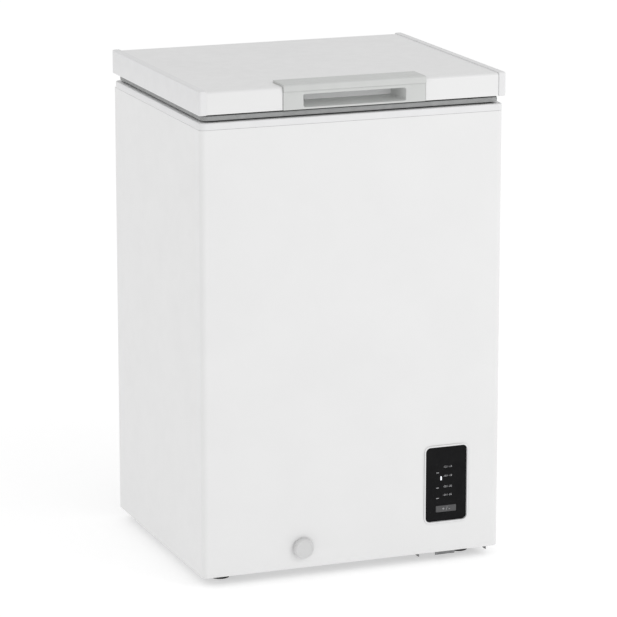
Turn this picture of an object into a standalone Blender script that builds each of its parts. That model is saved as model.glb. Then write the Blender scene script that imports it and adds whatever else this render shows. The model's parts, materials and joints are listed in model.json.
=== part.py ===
"""Chest freezer, about 100 litres: steel cabinet, hinged lid, sealed refrigeration circuit.

Metres, +Z up. The front faces -Y and the control panel is at +X. The origin is under the middle of the
whole object, at the level of the surface it stands on.
"""

import math

import bmesh
import bpy
from mathutils import Matrix, Vector

# ---------------------------------------------------------------- driving dimensions (metres)
BODY_WIDTH = 0.540
BODY_DEPTH = 0.454
BODY_HEIGHT = 0.7755  # lower edge of the steel wrap to the top of the rim frame
BODY_CORNER = 0.010
STEEL = 0.0007
SHELL_FLANGE = 0.014
REAR_RETURN = 0.012
FOOT_HEIGHT = 0.018
TOUCH = 0.0003  # gap left between pieces that touch

WALL = 0.050  # outer face of the cabinet to the lip around the tub
TUB_CORNER = 0.025
TUB_FLOOR = 0.062  # lower edge of the cabinet to the floor of the tub
LINER = 0.0008
STEP_LEFT = 0.050  # x of the riser of the step over the compressor
STEP_HEIGHT = 0.190  # step above the tub floor
BAY_INSULATION = 0.045  # between the tub and the compressor bay
PARTITION = 0.0012

RIM_HEIGHT = 0.0115
RIM_PLASTIC = 0.002
RIM_FLAT = 0.043  # width of the flat that the gasket closes on
LEDGE_DROP = 0.014  # basket ledge below the rim
LIP_DROP = 0.006

GASKET_GAP = 0.0135
GASKET_INSET = 0.006
GASKET_WIDTH = 0.016

LID_HEIGHT = 0.0405
LID_SIDE_OVERHANG = 0.0028
LID_FRONT_OVERHANG = 0.0033
LID_CORNER = 0.008
END_CAP_WIDTH = 0.013
END_CAP_PROUD = 0.0015
END_CAP_WALL = 0.002
LID_STEEL = 0.0007
LID_BEND = 0.005
LID_PANEL = 0.0012
LID_PLUG_DEPTH = 0.008  # inner panel below the rim of the cabinet
LID_PLUG_GAP = 0.008  # inner panel to the rim's inner face

HANDLE_WIDTH = 0.253
HANDLE_DEPTH = 0.050
HANDLE_FACE_HEIGHT = 0.031
VISOR_PROUD = 0.0025
VISOR_THICKNESS = 0.009
VISOR_LIP = 0.003
GRIP_WIDTH = 0.182
GRIP_HEIGHT = 0.0215
GRIP_BOTTOM = 0.0035
GRIP_DEPTH = 0.037
GRIP_RISE = 0.008
GRIP_TAPER = 0.012

HINGE_SPACING = 0.340
HINGE_REACH = 0.030
HINGE_PIN_OFFSET = 0.014
PIN_RADIUS = 0.003
PIN_CLEARANCE = 0.0004
PIN_HEAD = 0.0015  # thickness of the head, and how far it stands out
BRACKET_WIDTH = 0.036
BRACKET_HEIGHT = 0.082
BRACKET_STEEL = 0.002
EAR_RADIUS = 0.008
KNUCKLE_RADIUS = 0.0065
KNUCKLE_WIDTH = 0.016
ARM_WIDTH = 0.028
ARM_STEEL = 0.002
ARM_TOP_MARGIN = 0.006
SPRING_WIRE = 0.0022
SPRING_TURNS = 3
SPRING_LEG = 0.022
SPRING_GAP = 0.0005
HINGE_COVER_WALL = 0.0015
HINGE_COVER_SIDE = 0.006

DRAIN_X = -0.092
DRAIN_Z = 0.036  # centre of the drain above the cabinet's lower edge
DRAIN_BACK = 0.130  # tub outlet behind the front face
DRAIN_TUBE_RADIUS = 0.009
DRAIN_TUBE_WALL = 0.002
DRAIN_BEND = 0.017
DRAIN_SPOUT = 0.0055
DRAIN_CAP_RADIUS = 0.018
DRAIN_CAP_PROUD = 0.011
DRAIN_CAP_CHAMFER = 0.003
DRAIN_CAP_WALL = 0.003
DRAIN_FIT = 0.0004
PLUG_HEAD_RADIUS = 0.015
PLUG_HEAD = 0.004
PLUG_SHANK = 0.006

PANEL_CENTRE_X = 0.1716
PANEL_BOTTOM = 0.0565  # above the cabinet's lower edge
PANEL_WIDTH = 0.0726
PANEL_HEIGHT = 0.1288
PANEL_CORNER = 0.0085
BEZEL_WIDTH = 0.005
BEZEL_PROUD = 0.0015
BEZEL_DEPTH = 0.006
BEZEL_WALL = 0.0025
GLASS_RECESS = 0.0025
GLASS = 0.002
KEY_WIDTH = 0.038
KEY_HEIGHT = 0.0116
KEY_BOTTOM = 0.0136  # above the lower edge of the glass
KEY_X = 0.0011  # key centre from the panel centre
KEY_DEPTH = 0.0065
KEY_TRAVEL = 0.001
KEY_FIT = 0.0004
LENS_WIDTH = 0.0026
LENS_HEIGHT = 0.0068
LENS_X = -0.0086
LENS_Z = 0.0742
HOUSING_DEPTH = 0.028
HOUSING_WALL = 0.002
BOARD = 0.0016
BOARD_MARGIN = 0.003
SWITCH_SIZE = 0.006

COMPRESSOR_X = 0.186
COMPRESSOR_BACK = 0.128  # centre of the compressor in front of the rear face
COMPRESSOR_RADIUS = 0.060
COMPRESSOR_HEIGHT = 0.150
DOME = 0.045
COMPRESSOR_LIFT = 0.016
LEG_STEEL = 0.003
GROMMET_RADIUS = 0.011
GROMMET_SPAN_X = 0.092
GROMMET_SPAN_Y = 0.150
BASE_PLATE_LEFT = 0.1255
BASE_PLATE_SIDE = 0.0175  # right edge of the plate to the side of the cabinet
BASE_PLATE_SETBACK = 0.011
BASE_PLATE_STEEL = 0.0015
BASE_PLATE_FLANGE = 0.008
TAB_LEFT = 0.157
TAB_RIGHT = 0.193
COMPRESSOR_SEAM = 0.003
TERMINAL_SIZE = (0.052, 0.028, 0.062)
TERMINAL_LIFT = 0.035
TERMINAL_CORNER = 0.004
TERMINAL_WALL = 0.0015
TUBE_RADIUS = 0.003
CAPILLARY_RADIUS = 0.0015
DRIER_RADIUS = 0.009
DRIER_LENGTH = 0.085
EVAPORATOR_RADIUS = 0.0032
EVAPORATOR_TURNS = 5
CONDENSER_RADIUS = 0.0025
CONDENSER_TURNS = 5
CONDENSER_BEND = 0.020

BAY_COVER = 0.0012
BAY_COVER_MARGIN = 0.008
LOUVRE_COUNT = 9
LOUVRE_HEIGHT = 0.006
LOUVRE_SIDE = 0.022  # plain margin beside the louvres
LOUVRE_BOTTOM = 0.060
LOUVRE_TOP = 0.030
GLAND_RADIUS = 0.007
GLAND_FLANGE = 0.011
GLAND_LIP = 0.003
GLAND_DEPTH = 0.006
GLAND_SIDE = 0.030  # gland centre from the wall of the bay
GLAND_UP = 0.032  # and above the cabinet's lower edge
CORD_RADIUS = 0.0036

FOOT_RADIUS = 0.019
FOOT_SIDE = 0.050
FOOT_FRONT = 0.060
FOOT_BACK = 0.035
STUD_RADIUS = 0.004
STUD_LENGTH = 0.012
STUD_CLEARANCE = 0.001

BASKET_WIDTH = 0.200
BASKET_HEIGHT = 0.170
BASKET_WIRE = 0.003
BASKET_SIDE_GAP = 0.017  # clears the round corners of the tub
BASKET_END_GAP = 0.008
BASKET_CELLS = (4, 6, 2)

ROUND = 24  # sides of a turned piece
CORNER_STEPS = 4  # facets in a rounded corner

# ---------------------------------------------------------------- places worked out from them
BODY_BOTTOM = FOOT_HEIGHT
BODY_TOP = BODY_BOTTOM + BODY_HEIGHT
BODY_HALF = BODY_WIDTH / 2
BODY_FRONT = (DRAIN_CAP_PROUD - BODY_DEPTH - HINGE_REACH) / 2
BODY_BACK = BODY_FRONT + BODY_DEPTH
SHELL_TOP = BODY_TOP - RIM_HEIGHT - TOUCH
SHELL_BACK = BODY_BACK - STEEL - TOUCH

LINER_INSET = WALL - RIM_PLASTIC - TOUCH  # outer face of the cabinet to the inner face of the liner
LINER_CORNER = TUB_CORNER + RIM_PLASTIC + TOUCH
LINER_TOP = BODY_TOP - LEDGE_DROP - RIM_PLASTIC - TOUCH
TUB_BOTTOM = BODY_BOTTOM + TUB_FLOOR
STEP_TOP = TUB_BOTTOM + STEP_HEIGHT
COIL_GAP = 2 * EVAPORATOR_RADIUS + 2 * TOUCH
SKIN_GAP = 2 * CONDENSER_RADIUS + 2 * TOUCH
BAY_LEFT = STEP_LEFT + BAY_INSULATION
BAY_TOP = STEP_TOP - BAY_INSULATION

LID_BOTTOM = BODY_TOP + GASKET_GAP
LID_TOP = LID_BOTTOM + LID_HEIGHT
LID_HALF = BODY_HALF + LID_SIDE_OVERHANG
LID_FRONT = BODY_FRONT - LID_FRONT_OVERHANG
LID_BACK = BODY_BACK + LID_FRONT_OVERHANG
SKIN_HALF = LID_HALF - END_CAP_WIDTH - TOUCH
SKIN_TOP = LID_TOP - END_CAP_PROUD
SKIN_FRONT = LID_FRONT + END_CAP_PROUD
SKIN_BACK = LID_BACK - END_CAP_PROUD
HANDLE_HALF = HANDLE_WIDTH / 2
HANDLE_BACK = LID_FRONT + HANDLE_DEPTH

PIN_Y = BODY_BACK + HINGE_PIN_OFFSET
PIN_Z = BODY_TOP + GASKET_GAP / 2
DRAIN_HEIGHT = BODY_BOTTOM + DRAIN_Z
DRAIN_Y = BODY_FRONT + DRAIN_BACK
BASE_TOP = BODY_BOTTOM - TOUCH
COMPRESSOR_Y = BODY_BACK - COMPRESSOR_BACK
PANEL_LOW = BODY_BOTTOM + PANEL_BOTTOM
PANEL_MIDDLE = PANEL_LOW + PANEL_HEIGHT / 2

# ---------------------------------------------------------------- colour, roughness, metallic
FINISHES = {
    "white_paint": ((0.86, 0.86, 0.86), 0.35, 0.0),
    "white_plastic": ((0.84, 0.84, 0.85), 0.40, 0.0),
    "handle_plastic": ((0.66, 0.67, 0.66), 0.45, 0.0),
    "gasket_rubber": ((0.36, 0.37, 0.37), 0.70, 0.0),
    "liner_aluminium": ((0.80, 0.81, 0.82), 0.35, 0.9),
    "foam": ((0.85, 0.80, 0.62), 0.90, 0.0),
    "galvanised_steel": ((0.56, 0.57, 0.58), 0.45, 0.9),
    "black_paint": ((0.03, 0.03, 0.03), 0.45, 0.0),
    "black_plastic": ((0.02, 0.02, 0.02), 0.50, 0.0),
    "black_rubber": ((0.03, 0.03, 0.03), 0.80, 0.0),
    "panel_glass": ((0.01, 0.01, 0.012), 0.08, 0.0),
    "key_plastic": ((0.22, 0.22, 0.23), 0.40, 0.0),
    "lens": ((0.95, 0.97, 1.00), 0.30, 0.0),
    "board": ((0.05, 0.22, 0.10), 0.50, 0.0),
    "copper": ((0.72, 0.36, 0.22), 0.35, 1.0),
    "spring_steel": ((0.45, 0.45, 0.46), 0.35, 1.0),
    "coated_wire": ((0.86, 0.87, 0.88), 0.40, 0.0),
    "drain_plastic": ((0.80, 0.80, 0.81), 0.45, 0.0),
}


# ---------------------------------------------------------------- shared tools
def clear_scene():
    for obj in list(bpy.data.objects):
        bpy.data.objects.remove(obj, do_unlink=True)


def new_collection(name):
    collection = bpy.data.collections.new(name)
    bpy.context.scene.collection.children.link(collection)
    return collection


def finish_material(name):
    """The named finish as a Principled material, made once."""
    material = bpy.data.materials.get(name)
    if material is None:
        colour, roughness, metallic = FINISHES[name]
        material = bpy.data.materials.new(name)
        material.use_nodes = True
        shader = material.node_tree.nodes["Principled BSDF"]
        shader.inputs["Base Color"].default_value = (*colour, 1.0)
        shader.inputs["Roughness"].default_value = roughness
        shader.inputs["Metallic"].default_value = metallic
    return material


def add_object(name, data, finish):
    obj = bpy.data.objects.new(name, data)
    PARTS.objects.link(obj)
    if finish:
        data.materials.append(finish_material(finish))
    return obj


def add_bmesh(name, bm, finish):
    mesh = bpy.data.meshes.new(name)
    bm.to_mesh(mesh)
    bm.free()
    return add_object(name, mesh, finish)


def shade_round(obj):
    obj.data.shade_smooth()
    obj.data.set_sharp_from_angle(angle=math.radians(35))


def block_mesh(low, high):
    """A bmesh cube between two corners."""
    low, high = Vector(low), Vector(high)
    bm = bmesh.new()
    place = Matrix.LocRotScale((low + high) / 2, None, high - low)
    bmesh.ops.create_cube(bm, size=1.0, matrix=place)
    return bm


def edges_along(bm, axis, keep=lambda middle: True):
    """Edges that run along axis 0, 1 or 2 and whose middle passes the test."""
    found = []
    for edge in bm.edges:
        run = edge.verts[1].co - edge.verts[0].co
        middle = (edge.verts[0].co + edge.verts[1].co) / 2
        if abs(run[axis]) > 0.99 * run.length and keep(middle):
            found.append(edge)
    return found


def round_edges(bm, edges, radius, steps=CORNER_STEPS):
    bmesh.ops.bevel(bm, geom=edges, offset=radius, segments=steps, profile=0.5, affect="EDGES")


def remove_faces(bm, directions):
    """Open a block on the sides that face the given directions."""
    chosen = [f for f in bm.faces if any(f.normal.dot(Vector(d)) > 0.99 for d in directions)]
    bmesh.ops.delete(bm, geom=chosen, context="FACES")


def block(name, low, high, finish, radius=0.0, axes=(0, 1, 2), steps=2):
    """A box, with the edges along the given axes rounded."""
    bm = block_mesh(low, high)
    if radius:
        edges = [e for axis in axes for e in edges_along(bm, axis)]
        round_edges(bm, edges, radius, steps)
    return add_bmesh(name, bm, finish)


def thicken(obj, thickness, outwards=False):
    """Turn an open surface into sheet, grown inwards unless told otherwise."""
    solidify = obj.modifiers.new("sheet", "SOLIDIFY")
    solidify.thickness = thickness
    solidify.offset = 1.0 if outwards else -1.0
    solidify.use_even_offset = True
    solidify.use_quality_normals = True
    return obj


def rod(name, start, end, radius, finish, sides=ROUND):
    """A cylinder from one point to another."""
    start, end = Vector(start), Vector(end)
    run = end - start
    turn = run.to_track_quat("Z", "Y").to_matrix().to_4x4()
    place = Matrix.Translation((start + end) / 2) @ turn
    bm = bmesh.new()
    bmesh.ops.create_cone(
        bm, cap_ends=True, segments=sides, radius1=radius, radius2=radius, depth=run.length, matrix=place
    )
    obj = add_bmesh(name, bm, finish)
    shade_round(obj)
    return obj


def turned(name, profile, place, finish, sides=ROUND):
    """Screw a profile of (radius, height) points, outer side first and top to bottom, about local Z."""
    bm = bmesh.new()
    points = [bm.verts.new((radius, 0.0, height)) for radius, height in profile]
    for first, second in zip(points, points[1:]):
        bm.edges.new((first, second))
    obj = add_bmesh(name, bm, finish)
    screw = obj.modifiers.new("turn", "SCREW")
    screw.steps = sides
    screw.render_steps = sides
    screw.use_merge_vertices = True
    screw.merge_threshold = 0.00001
    screw.use_smooth_shade = True
    obj.matrix_world = place
    return obj


def facing_front(point):
    """Placement whose local Z points along -Y."""
    return Matrix.Translation(point) @ Matrix.Rotation(math.radians(90), 4, "X")


def facing_back(point):
    """Placement whose local Z points along +Y."""
    return Matrix.Translation(point) @ Matrix.Rotation(math.radians(-90), 4, "X")


def as_mesh(curve):
    """Replace a curve object by its mesh, with the caps welded on."""
    graph = bpy.context.evaluated_depsgraph_get()
    mesh = bpy.data.meshes.new_from_object(curve.evaluated_get(graph))
    bm = bmesh.new()
    bm.from_mesh(mesh)
    bmesh.ops.remove_doubles(bm, verts=bm.verts, dist=0.000005)
    bm.to_mesh(mesh)
    bm.free()
    name = curve.name
    curve.name = name + "_curve"
    obj = bpy.data.objects.new(name, mesh)
    obj.matrix_world = curve.matrix_world.copy()
    PARTS.objects.link(obj)
    bpy.data.objects.remove(curve, do_unlink=True)
    return obj


def add_spline(curve, points, cyclic):
    spline = curve.splines.new("POLY")
    spline.points.add(len(points) - 1)
    for target, point in zip(spline.points, points):
        target.co = (*point, 1.0)
    spline.use_cyclic_u = cyclic


def plate(name, outlines, thickness, place, finish):
    """A flat sheet from closed outlines in local XY: the first is the edge and the others are holes."""
    curve = bpy.data.curves.new(name, "CURVE")
    curve.dimensions = "2D"
    curve.fill_mode = "BOTH"
    curve.extrude = thickness / 2
    for outline in outlines:
        add_spline(curve, [(x, y, 0.0) for x, y in outline], True)
    obj = add_object(name, curve, finish)
    obj.matrix_world = place
    bpy.context.view_layer.update()
    return as_mesh(obj)


def tube(name, points, radius, finish, sides_level=2):
    """A round bar along a line of points."""
    curve = bpy.data.curves.new(name, "CURVE")
    curve.dimensions = "3D"
    curve.bevel_depth = radius
    curve.bevel_resolution = sides_level
    curve.use_fill_caps = True
    add_spline(curve, points, False)
    return add_object(name, curve, finish)


def boolean(obj, tool, operation="DIFFERENCE"):
    """Cut or join with a tool object, which becomes a guide."""
    modifier = obj.modifiers.new(tool.name, "BOOLEAN")
    modifier.operation = operation
    modifier.object = tool
    PARTS.objects.unlink(tool)
    CUTTERS.objects.link(tool)
    tool.hide_render = True
    tool.display_type = "WIRE"
    return obj


def arc(centre, radius, start, end, steps):
    """Points on an arc, with its angles in degrees."""
    angles = [math.radians(start + (end - start) * i / steps) for i in range(steps + 1)]
    return [(centre[0] + radius * math.cos(a), centre[1] + radius * math.sin(a)) for a in angles]


def circle(centre, radius, sides=ROUND):
    return arc(centre, radius, 0, 360, sides)[:-1]


def rounded_rectangle(low, high, radius, steps=CORNER_STEPS):
    """Outline between two corners, anticlockwise, with round corners."""
    x0, y0, x1, y1 = low[0] + radius, low[1] + radius, high[0] - radius, high[1] - radius
    outline = arc((x1, y0), radius, -90, 0, steps)
    outline += arc((x1, y1), radius, 0, 90, steps)
    outline += arc((x0, y1), radius, 90, 180, steps)
    outline += arc((x0, y0), radius, 180, 270, steps)
    return outline


def lofted(name, rings, finish, closed_profile=False, caps=(), path_closed=True):
    """Join rings of equal length by quads. caps names the rings, first or last, that are filled."""
    bm = bmesh.new()
    rows = [[bm.verts.new(point) for point in ring] for ring in rings]
    pairs = list(zip(rows, rows[1:]))
    if closed_profile:
        pairs.append((rows[-1], rows[0]))
    for lower, upper in pairs:
        count = len(lower)
        for i in range(count if path_closed else count - 1):
            j = (i + 1) % count
            bm.faces.new((lower[i], lower[j], upper[j], upper[i]))
    if "first" in caps:
        bm.faces.new(list(reversed(rows[0])))
    if "last" in caps:
        bm.faces.new(rows[-1])
    return add_bmesh(name, bm, finish)


def body_ring(inset, z, radius):
    """The cabinet's plan outline, moved in by inset, at height z."""
    low = (-BODY_HALF + inset, BODY_FRONT + inset)
    high = (BODY_HALF - inset, BODY_BACK - inset)
    return [(x, y, z) for x, y in rounded_rectangle(low, high, radius)]


def lid_ring(inset, z, radius):
    """The lid's plan outline, moved in by inset, at height z."""
    low = (-LID_HALF + inset, LID_FRONT + inset)
    high = (LID_HALF - inset, LID_BACK - inset)
    return [(x, y, z) for x, y in rounded_rectangle(low, high, radius)]


def panel_ring(inset, y):
    """The bezel's outline in the front face, moved in by inset, at depth y."""
    half = PANEL_WIDTH / 2 + BEZEL_WIDTH - inset
    low = (PANEL_CENTRE_X - half, PANEL_LOW - BEZEL_WIDTH + inset)
    high = (PANEL_CENTRE_X + half, PANEL_LOW + PANEL_HEIGHT + BEZEL_WIDTH - inset)
    radius = PANEL_CORNER + BEZEL_WIDTH - inset
    return [(x, y, z) for x, z in rounded_rectangle(low, high, radius)]


def tub_form(name, grow, top, finish=None):
    """The tub's hollow as a block with the step cut out, grown outwards on all sides."""
    left = -BODY_HALF + LINER_INSET - grow
    right = BODY_HALF - LINER_INSET + grow
    low = TUB_BOTTOM - grow
    outline = [
        (left, low),
        (STEP_LEFT + grow, low),
        (STEP_LEFT + grow, STEP_TOP - grow),
        (right, STEP_TOP - grow),
        (right, top),
        (left, top),
    ]
    ends = (BODY_FRONT + LINER_INSET - grow, BODY_BACK - LINER_INSET + grow)
    rings = [[(x, y, z) for x, z in outline] for y in ends]
    form = lofted(name, rings, finish, caps=("first", "last"))
    bm = bmesh.new()
    bm.from_mesh(form.data)
    riser = STEP_LEFT + grow
    corners = edges_along(bm, 2, lambda m: abs(m.x - riser) > 0.001)
    round_edges(bm, corners, LINER_CORNER + grow)
    bmesh.ops.recalc_face_normals(bm, faces=bm.faces)
    bm.to_mesh(form.data)
    bm.free()
    return form


# ---------------------------------------------------------------- cabinet
def wrap_outline(inset):
    """Plan outline of the steel wrap, open at the back, with its rear returns."""
    left, right = -BODY_HALF + inset, BODY_HALF - inset
    front, back = BODY_FRONT + inset, SHELL_BACK - inset
    radius = max(BODY_CORNER - inset, 0.0006)
    outline = [(-BODY_HALF + SHELL_FLANGE + REAR_RETURN, back), (left, back)]
    outline += arc((left + radius, front + radius), radius, 180, 270, CORNER_STEPS)
    outline += arc((right - radius, front + radius), radius, 270, 360, CORNER_STEPS)
    outline += [(right, back), (BODY_HALF - SHELL_FLANGE - REAR_RETURN, back)]
    return outline


def make_outer_shell():
    """One folded sheet: front and both sides, with flanges turned in at top, bottom and back."""
    levels = [(SHELL_FLANGE, BODY_BOTTOM), (0.0, BODY_BOTTOM), (0.0, SHELL_TOP), (SHELL_FLANGE, SHELL_TOP)]
    rings = [[(x, y, z) for x, y in wrap_outline(inset)] for inset, z in levels]
    shell = lofted("outer_shell", rings, "white_paint", path_closed=False)
    thicken(shell, STEEL)
    hole = lofted(
        "panel_opening",
        [panel_ring(BEZEL_WIDTH - BEZEL_WALL - TOUCH, BODY_FRONT + y) for y in (0.010, -0.010)],
        None,
        caps=("first", "last"),
    )
    boolean(shell, hole)
    spout = (DRAIN_X, BODY_FRONT, DRAIN_HEIGHT)
    boolean(shell, drain_bore("drain_opening", spout, 0.010))
    return shell


def drain_bore(name, centre, reach):
    """A cutter along Y, just larger than the drain tube."""
    x, y, z = centre
    radius = DRAIN_TUBE_RADIUS + DRAIN_FIT
    return rod(name, (x, y - reach, z), (x, y + reach, z), radius, None)


def make_rear_panel():
    """Flat sheet behind the foam, notched for the compressor bay."""
    side = BODY_HALF - STEEL - TOUCH
    outline = [
        (-side, BODY_BOTTOM),
        (BAY_LEFT + BAY_COVER_MARGIN, BODY_BOTTOM),
        (BAY_LEFT + BAY_COVER_MARGIN, BAY_TOP - BAY_COVER_MARGIN),
        (BODY_HALF - SHELL_FLANGE - BAY_COVER_MARGIN, BAY_TOP - BAY_COVER_MARGIN),
        (BODY_HALF - SHELL_FLANGE - BAY_COVER_MARGIN, BODY_BOTTOM),
        (side, BODY_BOTTOM),
        (side, SHELL_TOP),
        (-side, SHELL_TOP),
    ]
    place = facing_front((0.0, BODY_BACK - STEEL / 2, 0.0))
    return plate("rear_panel", [outline], STEEL, place, "galvanised_steel")


def foot_places():
    """Name and plan position of each foot."""
    x = BODY_HALF - FOOT_SIDE
    front, back = BODY_FRONT + FOOT_FRONT, BODY_BACK - FOOT_BACK
    return {
        "foot_front_left": (-x, front),
        "foot_front_right": (x, front),
        "foot_rear_left": (-x, back),
        "foot_rear_right": (x, back),
    }


def foot_holes(side):
    """Outlines of the stud holes on one side of the cabinet."""
    places = [p for p in foot_places().values() if p[0] * side > 0]
    return [circle(place, STUD_RADIUS + STUD_CLEARANCE, 12) for place in places]


def make_base_panel():
    """Flat sheet that closes the foam from below."""
    right = BASE_PLATE_LEFT - 0.0025
    low = (-BODY_HALF + BASE_PLATE_SETBACK, BODY_FRONT + BASE_PLATE_SETBACK)
    high = (right, BODY_BACK - BASE_PLATE_SETBACK)
    outline = rounded_rectangle(low, high, BODY_CORNER)
    place = Matrix.Translation((0.0, 0.0, BASE_TOP - BASE_PLATE_STEEL / 2))
    return plate("base_panel", [outline, *foot_holes(-1)], BASE_PLATE_STEEL, place, "galvanised_steel")


def make_top_frame():
    """Plastic rim: outer skirt over the steel, flat for the gasket, basket ledge and tub lip."""
    inner = TUB_CORNER + WALL - RIM_FLAT
    edge = 0.0015
    profile = [
        (0.0, BODY_TOP - RIM_HEIGHT, BODY_CORNER),
        (0.0, BODY_TOP - edge, BODY_CORNER),
        (edge, BODY_TOP, BODY_CORNER - edge),
        (RIM_FLAT, BODY_TOP, inner),
        (RIM_FLAT, BODY_TOP - LEDGE_DROP, inner),
        (WALL, BODY_TOP - LEDGE_DROP, TUB_CORNER),
        (WALL, BODY_TOP - LEDGE_DROP - LIP_DROP, TUB_CORNER),
    ]
    rings = [body_ring(inset, z, radius) for inset, z, radius in profile]
    return thicken(lofted("top_frame", rings, "white_plastic"), RIM_PLASTIC)


def make_inner_liner():
    """Folded and embossed sheet tub, with a step over the compressor and a drain hole."""
    liner = tub_form("inner_liner", 0.0, LINER_TOP, "liner_aluminium")
    bm = bmesh.new()
    bm.from_mesh(liner.data)
    chosen = [f for f in bm.faces if f.normal.z > 0.99 and f.calc_center_median().z > LINER_TOP - 0.001]
    bmesh.ops.delete(bm, geom=chosen, context="FACES")
    bm.to_mesh(liner.data)
    bm.free()
    thicken(liner, LINER, outwards=True)
    low, high = TUB_BOTTOM - 0.010, TUB_BOTTOM + 0.010
    bore = DRAIN_TUBE_RADIUS - DRAIN_TUBE_WALL
    return boolean(liner, rod("outlet", (DRAIN_X, DRAIN_Y, low), (DRAIN_X, DRAIN_Y, high), bore, None))


def make_insulation_foam():
    """Foam between the steel and the tub, notched for the compressor bay and bored for the drain."""
    gap = STEEL + SKIN_GAP
    flange = STEEL + TOUCH
    low = (-BODY_HALF + gap, BODY_FRONT + gap, BODY_BOTTOM + flange)
    high = (BODY_HALF - gap, SHELL_BACK - gap, LINER_TOP - LIP_DROP)
    corner = CONDENSER_BEND - CONDENSER_RADIUS - TOUCH
    foam = block("insulation_foam", low, high, "foam", corner, axes=(2,), steps=CORNER_STEPS)
    boolean(foam, tub_form("tub_hollow", LINER + COIL_GAP, LINER_TOP + 0.02))
    bay_gap = PARTITION + 2 * TOUCH
    bay_low = (BAY_LEFT - bay_gap, BODY_FRONT - 0.02, BODY_BOTTOM - 0.02)
    bay_high = (BODY_HALF + 0.02, BODY_BACK + 0.02, BAY_TOP + bay_gap)
    boolean(foam, block("bay_hollow", bay_low, bay_high, None))
    boolean(foam, drain_path("drain_hollow", DRAIN_TUBE_RADIUS + DRAIN_FIT, 0.02))
    for name, (x, y) in foot_places().items():
        if x < 0:
            top = BODY_BOTTOM + STUD_LENGTH + STUD_CLEARANCE
            pocket = rod(name + "_pocket", (x, y, 0.0), (x, y, top), STUD_RADIUS + STUD_CLEARANCE, None, 12)
            boolean(foam, pocket)
    return foam


def make_bay_partition():
    """Folded sheet that keeps the foam out of the compressor bay: one wall and a ceiling."""
    flange = STEEL + TOUCH
    low = (BAY_LEFT - PARTITION - TOUCH, BODY_FRONT + flange, BODY_BOTTOM + flange)
    high = (BODY_HALF - BODY_CORNER, SHELL_BACK - flange, BAY_TOP + PARTITION + TOUCH)
    bm = block_mesh(low, high)
    remove_faces(bm, [(1, 0, 0), (0, 1, 0), (0, -1, 0), (0, 0, -1)])
    return thicken(add_bmesh("bay_partition", bm, "galvanised_steel"), PARTITION)


# ---------------------------------------------------------------- drain
def drain_points(overrun):
    """From the tub outlet down, round a bend, and forward to the spout."""
    top = TUB_BOTTOM - LINER - TOUCH + overrun
    front = BODY_FRONT - DRAIN_SPOUT - overrun
    turn = arc((DRAIN_Y - DRAIN_BEND, DRAIN_HEIGHT + DRAIN_BEND), DRAIN_BEND, 0, -90, 5)
    points = [(DRAIN_X, DRAIN_Y, top)]
    points += [(DRAIN_X, y, z) for y, z in turn]
    points.append((DRAIN_X, front, DRAIN_HEIGHT))
    return points


def drain_path(name, radius, overrun):
    """The drain's run as a solid bar."""
    curve = tube(name, drain_points(overrun), radius, None, 4)
    bpy.context.view_layer.update()
    return as_mesh(curve)


def make_drain_tube():
    outer = drain_path("drain_tube", DRAIN_TUBE_RADIUS, 0.0)
    outer.data.materials.append(finish_material("drain_plastic"))
    return boolean(outer, drain_path("drain_bore", DRAIN_TUBE_RADIUS - DRAIN_TUBE_WALL, 0.01))


def make_drain_cap():
    """Push-on cap: a disc with a chamfered face and a socket for the spout."""
    socket = DRAIN_TUBE_RADIUS + DRAIN_FIT
    depth = DRAIN_SPOUT + 0.001
    profile = [
        (0.0, DRAIN_CAP_PROUD),
        (DRAIN_CAP_RADIUS - DRAIN_CAP_CHAMFER, DRAIN_CAP_PROUD),
        (DRAIN_CAP_RADIUS, DRAIN_CAP_PROUD - DRAIN_CAP_CHAMFER),
        (DRAIN_CAP_RADIUS, TOUCH),
        (socket, TOUCH),
        (socket, depth),
        (0.0, depth),
    ]
    return turned("drain_cap", profile, facing_front((DRAIN_X, BODY_FRONT, DRAIN_HEIGHT)), "white_plastic")


def make_drain_plug():
    """Flanged bung in the tub floor."""
    shank = DRAIN_TUBE_RADIUS - DRAIN_TUBE_WALL - DRAIN_FIT
    profile = [
        (0.0, PLUG_HEAD),
        (PLUG_HEAD_RADIUS - 0.001, PLUG_HEAD),
        (PLUG_HEAD_RADIUS, PLUG_HEAD - 0.001),
        (PLUG_HEAD_RADIUS, TOUCH),
        (shank, TOUCH),
        (shank, -PLUG_SHANK),
        (0.0, -PLUG_SHANK),
    ]
    place = Matrix.Translation((DRAIN_X, DRAIN_Y, TUB_BOTTOM))
    return turned("drain_plug", profile, place, "black_rubber")


# ---------------------------------------------------------------- control panel
def make_control_bezel():
    """Ring that covers the edge of the opening and holds the glass."""
    soft = 0.0005
    profile = [
        (0.0, -TOUCH),
        (0.0, soft - BEZEL_PROUD),
        (soft, -BEZEL_PROUD),
        (BEZEL_WIDTH - soft, -BEZEL_PROUD),
        (BEZEL_WIDTH, soft - BEZEL_PROUD),
        (BEZEL_WIDTH, BEZEL_DEPTH),
        (BEZEL_WIDTH - BEZEL_WALL + TOUCH, BEZEL_DEPTH),
        (BEZEL_WIDTH - BEZEL_WALL + TOUCH, -TOUCH),
    ]
    rings = [panel_ring(inset, BODY_FRONT + depth) for inset, depth in profile]
    return lofted("control_bezel", rings, "white_plastic", closed_profile=True)


def slot_block(name, centre_x, centre_z, width, height, front, back, finish=None):
    low = (centre_x - width / 2, front, centre_z - height / 2)
    high = (centre_x + width / 2, back, centre_z + height / 2)
    return block(name, low, high, finish)


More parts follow.
